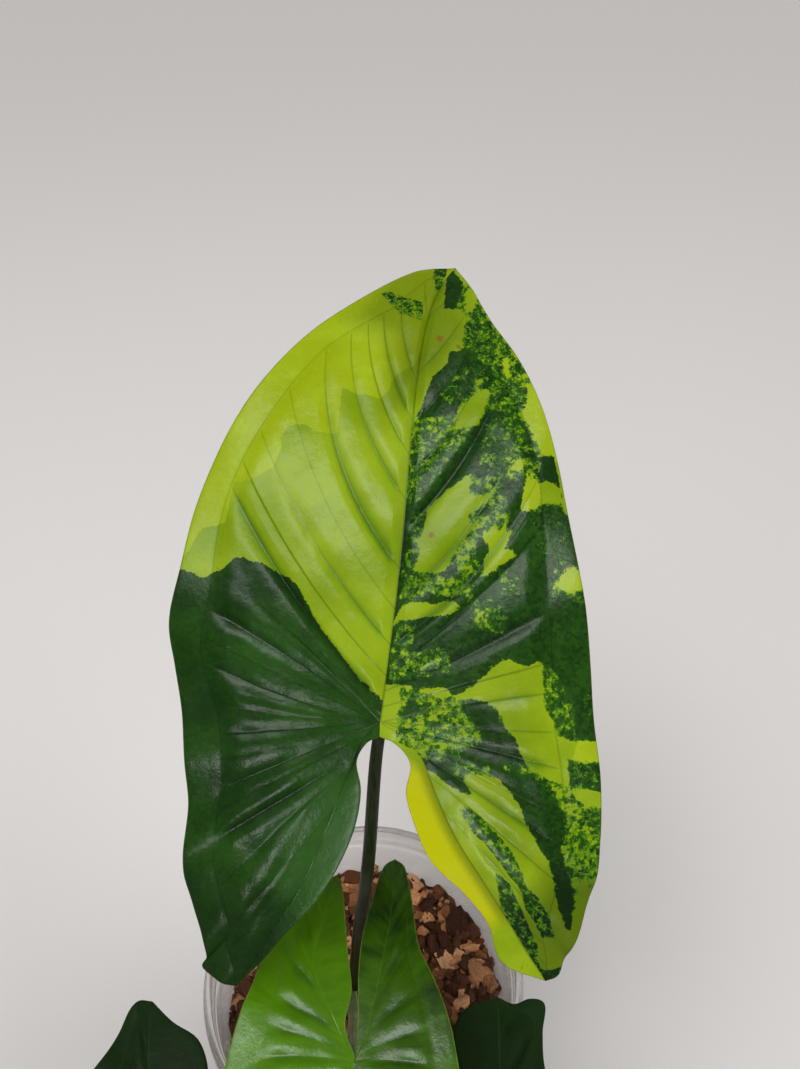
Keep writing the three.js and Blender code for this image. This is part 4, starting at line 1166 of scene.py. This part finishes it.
def blade_surface(finish, colour, under, vein, edge, gloss, shine, lines, rib):
    """What all blades share: a darker green in the valleys, partly the greener tissue along the veins and
    partly painted shade, fine veins and the looped one in the share of the vein's colour that lines
    gives, ribs in the share that rib gives, a thin margin line, pores, and a paler, duller underside.
    A vein colour darker than the blade's paints shade in the vein grooves and on the ribs, and the young
    blade's pale margin line is a painted highlight along its edge."""
    place = finish.place()
    loop, off_vein = finish.value("loop"), finish.value("off_vein")
    from_rib, to_margin = finish.value("from_rib"), finish.value("to_margin")
    # A darker green where the sheet is sunk: partly the greener tissue along the veins, partly painted
    # shade in the valleys.
    valley = finish.mix(1.0, colour, paint(150, 190, 60), "MULTIPLY")
    valley_shade = finish.step(finish.value("sunk"), 0.15, 1.0)
    colour = finish.mix(finish.calc("MULTIPLY", valley_shade, 0.85), colour, valley)
    line = finish.calc("MULTIPLY", finish.step(off_vein, 0.45, 0.1), finish.step(loop, 0.0, 2.0))
    ring = finish.step(finish.calc("ABSOLUTE", loop), 0.4, 0.1)
    threads = finish.calc("MULTIPLY", finish.calc("MAXIMUM", line, ring), lines)
    colour = finish.mix(threads, colour, vein)
    ribs = finish.calc("MULTIPLY", finish.step(from_rib, 0.6, 0.3), finish.step(to_margin, 1.0, 8.0))
    colour = finish.mix(finish.calc("MULTIPLY", ribs, rib), colour, vein)
    waver = finish.calc("MULTIPLY_ADD", finish.noise(place, 420.0), 0.6, -0.3)
    on_edge = finish.step(finish.calc("ADD", to_margin, waver), 0.4, 0.1)
    colour = finish.mix(finish.calc("MULTIPLY", on_edge, 0.4), colour, edge)
    below = finish.value("under")
    finish.set("Base Color", finish.mix(below, colour, finish.mix(0.5, colour, under)))
    cloud = finish.noise(place, 90.0, 3.0)
    wax = finish.add("MapRange", {"Value": cloud, "To Min": gloss - 0.05, "To Max": gloss + 0.07})
    finish.set("Roughness", finish.calc("ADD", wax, finish.calc("MULTIPLY", below, 0.2)))
    finish.set("Specular IOR Level", shine)
    finish.bump(finish.noise(place, 300.0, 4.0, 0.6), 0.35, 0.0005)
    finish.bump(finish.noise(place, 1800.0, 2.0), 0.12, 0.0002)


def off_middle(finish, value):
    """A value from 0 to 1 as one from -0.5 to 0.5."""
    return finish.calc("SUBTRACT", value, 0.5)


def marbled_finish():
    """Green over lime over yellow. A noise of many sizes is added to the depth of green. Outside
    the flecked patches it only roughens the edge, and in them it breaks green and lime up, with
    middle tones between."""
    finish = Finish("marbled_leaf", 0.35)
    place = finish.place()
    flecks, deeper = finish.value("flecks"), finish.value("deeper")
    cloud = finish.noise(place, 45.0, 4.0)
    patchy = finish.noise(place, 60.0, 5.0, 0.6)
    fine = finish.noise(place, 700.0, 3.0)
    grain = off_middle(finish, finish.noise(place, 420.0, 5.0, 0.75))
    speck = off_middle(finish, finish.noise(place, 1500.0, 2.0))
    block = off_middle(finish, finish.add("SeparateColor", {"Color": finish.cells(place, 950.0)}, 0))

    ragged = finish.calc("MULTIPLY_ADD", grain, 10.0, finish.calc("MULTIPLY", block, 1.2))
    ragged = finish.calc("MULTIPLY_ADD", speck, 3.0, ragged)
    green = finish.calc("ADD", finish.value("green"), finish.calc("MULTIPLY", ragged, flecks))
    softness = finish.calc("MULTIPLY_ADD", finish.calc("SUBTRACT", flecks, PLAIN_FLECKS), 0.55, 0.1)
    tone = finish.calc("DIVIDE", green, softness)

    mottle = finish.calc("MULTIPLY_ADD", finish.calc("MULTIPLY", block, flecks), 0.5, cloud)
    deep = finish.mix(finish.step(mottle, 0.3, 0.8), paint(13, 44, 3), paint(32, 71, 10))
    # Darker pigment and painted shade deepen the sap green, and below 0 a painted grey green sheen
    # lightens it.
    deep = finish.mix(finish.calc("MAXIMUM", deeper, 0.0), deep, paint(9, 28, 4))
    deep = finish.mix(finish.calc("MULTIPLY", deeper, -1.0), deep, paint(52, 96, 34))
    middle = finish.mix(finish.step(fine, 0.4, 0.6), paint(46, 92, 5), paint(76, 122, 12))

    lime = finish.mix(finish.step(cloud, 0.3, 0.7), paint(110, 136, 0), paint(134, 158, 18))
    straw = finish.mix(finish.step(cloud, 0.35, 0.65), paint(138, 158, 6), paint(148, 170, 26))
    in_patch = finish.calc("MULTIPLY", finish.step(patchy, 0.5, 0.515), 0.5)
    straw = finish.mix(in_patch, straw, paint(138, 156, 0))
    pale = finish.calc("ADD", finish.value("pale"), finish.calc("MULTIPLY", grain, 2.5))
    light = finish.mix(finish.step(pale, -0.15, 0.15), lime, straw)
    # The same darker pigment and painted shade dim the lime.
    light = finish.mix(finish.calc("MAXIMUM", deeper, 0.0), light, paint(66, 88, 0))
    # Next to its fold the turned-up strip darkens to olive: painted shade in the crease along the rib.
    clear_of_fold_shade = finish.step(finish.value("from_rib"), 0.5, 5.0)
    strip = finish.mix(clear_of_fold_shade, paint(120, 130, 0), paint(170, 172, 0))
    light = finish.mix(finish.value("turned_up"), light, strip)

    mottled = finish.mix(finish.step(tone, -2.4, -0.9), light, middle)
    mottled = finish.mix(finish.step(tone, -0.5, 1.0), mottled, deep)
    crisp = finish.mix(finish.step(tone, -1.0, 1.0), light, deep)
    colour = finish.mix(finish.step(flecks, PLAIN_FLECKS + 0.2, PLAIN_FLECKS), mottled, crisp)
    uneven = finish.calc("MULTIPLY_ADD", finish.noise(place, 900.0), 1.6, -0.8)
    rust = finish.step(finish.calc("ADD", finish.value("rust"), uneven), -0.2, 0.5)
    colour = finish.mix(finish.calc("MULTIPLY", rust, 0.75), colour, paint(116, 72, 22))
    # The marbled blade's vein colour is its own colour darkened, so its vein and rib lines are painted
    # shade in the grooves.
    blade_surface(
        finish, colour, under=paint(150, 170, 110), edge=paint(92, 80, 30),
        vein=finish.mix(1.0, colour, paint(120, 150, 40), "MULTIPLY"),
        gloss=0.26, shine=0.25, lines=0.35, rib=0.5)
    return finish


def plain_finish(name, dark, light, **surface):
    """One green with a darker and a lighter side: the shade value leads from one to the other, and
    clouds and streaks along the veins are added to it."""
    finish = Finish(name, 0.35)
    place = finish.place()
    veins = finish.add("UVMap", {}, uv_map="veins")
    cloud = finish.noise(place, 60.0, 4.0)
    streak = finish.noise(finish.stretch(veins, (0.3, 0.08, 1)), 1.0, 3.0)
    shade = finish.calc("ADD", finish.value("shade"), finish.calc("MULTIPLY_ADD", cloud, 0.5, -0.25))
    shade = finish.calc("ADD", shade, finish.calc("MULTIPLY_ADD", streak, 0.5, -0.25))
    colour = finish.mix(finish.step(shade, 0.0, 1.0, smooth=False), dark, light)
    blade_surface(finish, colour, **surface)
    return finish


def young_shade(values):
    """The right half is lighter than the left, and both get lighter from the lobes to the tip."""
    rising = np.clip(values["q"] / 40, -1, 1)
    return {"shade": np.where(values["right"], 0.62 + 0.1 * rising, 0.3 + 0.14 * rising)}


def old_shade(values):
    """The old blades are lighter towards the margin."""
    return {"shade": 0.35 + 0.3 * np.exp(-values["to_margin"] / 8)}


# The young blade's pale margin colour is a painted highlight along its edge.
YOUNG_LEAF = plain_finish(
    "young_leaf", paint(6, 32, 0), paint(88, 140, 0), under=paint(120, 156, 84),
    vein=paint(104, 148, 24), edge=paint(130, 146, 60), gloss=0.23, shine=0.45, lines=0.05, rib=0.08)
OLD_LEAF = plain_finish(
    "dark_leaf", paint(12, 28, 8), paint(26, 48, 16), under=paint(84, 110, 72),
    vein=paint(44, 66, 30), edge=paint(56, 60, 30), gloss=0.4, shine=0.15, lines=0.12, rib=0.3)
BLADES = {
    "variegated": (11, (52, 12), "marbled_leaf", marbled_finish(), marbling),
    "young": (10, (36, 12), "young_leaf", YOUNG_LEAF, young_shade),
    "side_left": (9, (32, 10), "dark_leaf", OLD_LEAF, old_shade),
    "side_right": (9, (32, 10), "dark_leaf", OLD_LEAF, old_shade),
}
SURFACE_VALUES = ("from_rib", "to_margin", "loop", "off_vein", "sunk", "under")
for name, (per_vein, rows, slot, finish, colouring) in BLADES.items():
    points, faces, values = blade_mesh(LEAVES[name], per_vein, rows)
    blade = new_piece(name + "_leaf", points, faces, finish)
    stored = {value_name: values[value_name] for value_name in SURFACE_VALUES}
    stored.update(colouring(values))
    for value_name, column in stored.items():
        store(blade.data, value_name, column, "CORNER")
    along_veins = np.stack([values["across"], values["from_rib"]], -1).astype(np.float32)
    blade.data.uv_layers.new(name="veins").data.foreach_set("uv", along_veins.ravel())
    settle(blade, name + "_blade")

# The studio: a wide pale floor, soft light from all round, and three large soft windows that the
# wax of the leaves mirrors. The camera stands above and before the pot and looks down on the big
# leaf.
FLOOR_REACH = 60.0
CAMERA_PLACE = (0.01356, -0.14425, 0.41905)
CAMERA_PITCH = 37.0
CAMERA_LENS = 27.01
CAMERA_SENSOR = 36.0

floor_mesh = bpy.data.meshes.new("floor")
floor_corners = [(x * FLOOR_REACH, y * FLOOR_REACH, 0) for x, y in ((-1, -1), (1, -1), (1, 1), (-1, 1))]
floor_mesh.from_pydata(floor_corners, [], [(0, 1, 2, 3)])
floor = bpy.data.objects.new("floor", floor_mesh)
bpy.context.scene.collection.objects.link(floor)
floor_finish = Finish("floor", 0.9, Base_Color=paint(222, 219, 217), Specular_IOR_Level=0.2)
floor_mesh.materials.append(floor_finish.material)
floor.visible_glossy = False

camera_data = bpy.data.cameras.new("camera")
camera_data.lens = CAMERA_LENS
camera_data.sensor_width = CAMERA_SENSOR
camera_data.clip_end = 200
camera = bpy.data.objects.new("camera", camera_data)
camera.location = CAMERA_PLACE
camera.rotation_euler = (math.radians(90 - CAMERA_PITCH), 0, 0)
bpy.context.scene.collection.objects.link(camera)
bpy.context.scene.camera = camera

world = bpy.data.worlds.new("studio")
world.use_nodes = True
backdrop = world.node_tree.nodes["Background"].inputs
backdrop["Color"].default_value = paint(232, 230, 229)
backdrop["Strength"].default_value = 0.25
bpy.context.scene.world = world


def lamp(name, kind, energy, place, target, size, spread=180):
    """A lamp that points from its place to its target, and is never seen itself. A sun's size is
    its angle in degrees, and only the windows are mirrored in the leaves."""
    data = bpy.data.lights.new(name, kind)
    data.energy = energy
    if kind == "SUN":
        data.angle = math.radians(size)
    else:
        data.shape = "RECTANGLE"
        data.size, data.size_y = size
        data.spread = math.radians(spread)
    x, y, z = np.subtract(target, place)
    made = bpy.data.objects.new(name, data)
    made.location = place
    made.rotation_euler = (math.atan2(math.hypot(x, y), -z), 0, math.atan2(y, x) - math.pi / 2)
    made.visible_camera = False
    made.visible_glossy = kind != "SUN"
    bpy.context.scene.collection.objects.link(made)


lamp("left_light", "SUN", 1.15, (-0.7, -0.5, 0.85), (0, 0, 0), 50)
lamp("right_light", "SUN", 1.5, (0.9, -0.15, 0.62), (0, 0, 0), 50)
lamp("low_window", "AREA", 0.3, (-0.32, -1.43, 0.56), (-0.02, 0, 0.24), (0.32, 0.26), spread=50)
lamp("high_window", "AREA", 5.5, (-0.12, -0.68, 1.71), (-0.01, 0.06, 0.3), (0.46, 0.46))
lamp("side_window", "AREA", 4.5, (-0.62, -0.47, 1.72), (-0.03, 0.06, 0.33), (0.6, 0.6))
bpy.context.scene.view_settings.view_transform = "Standard"
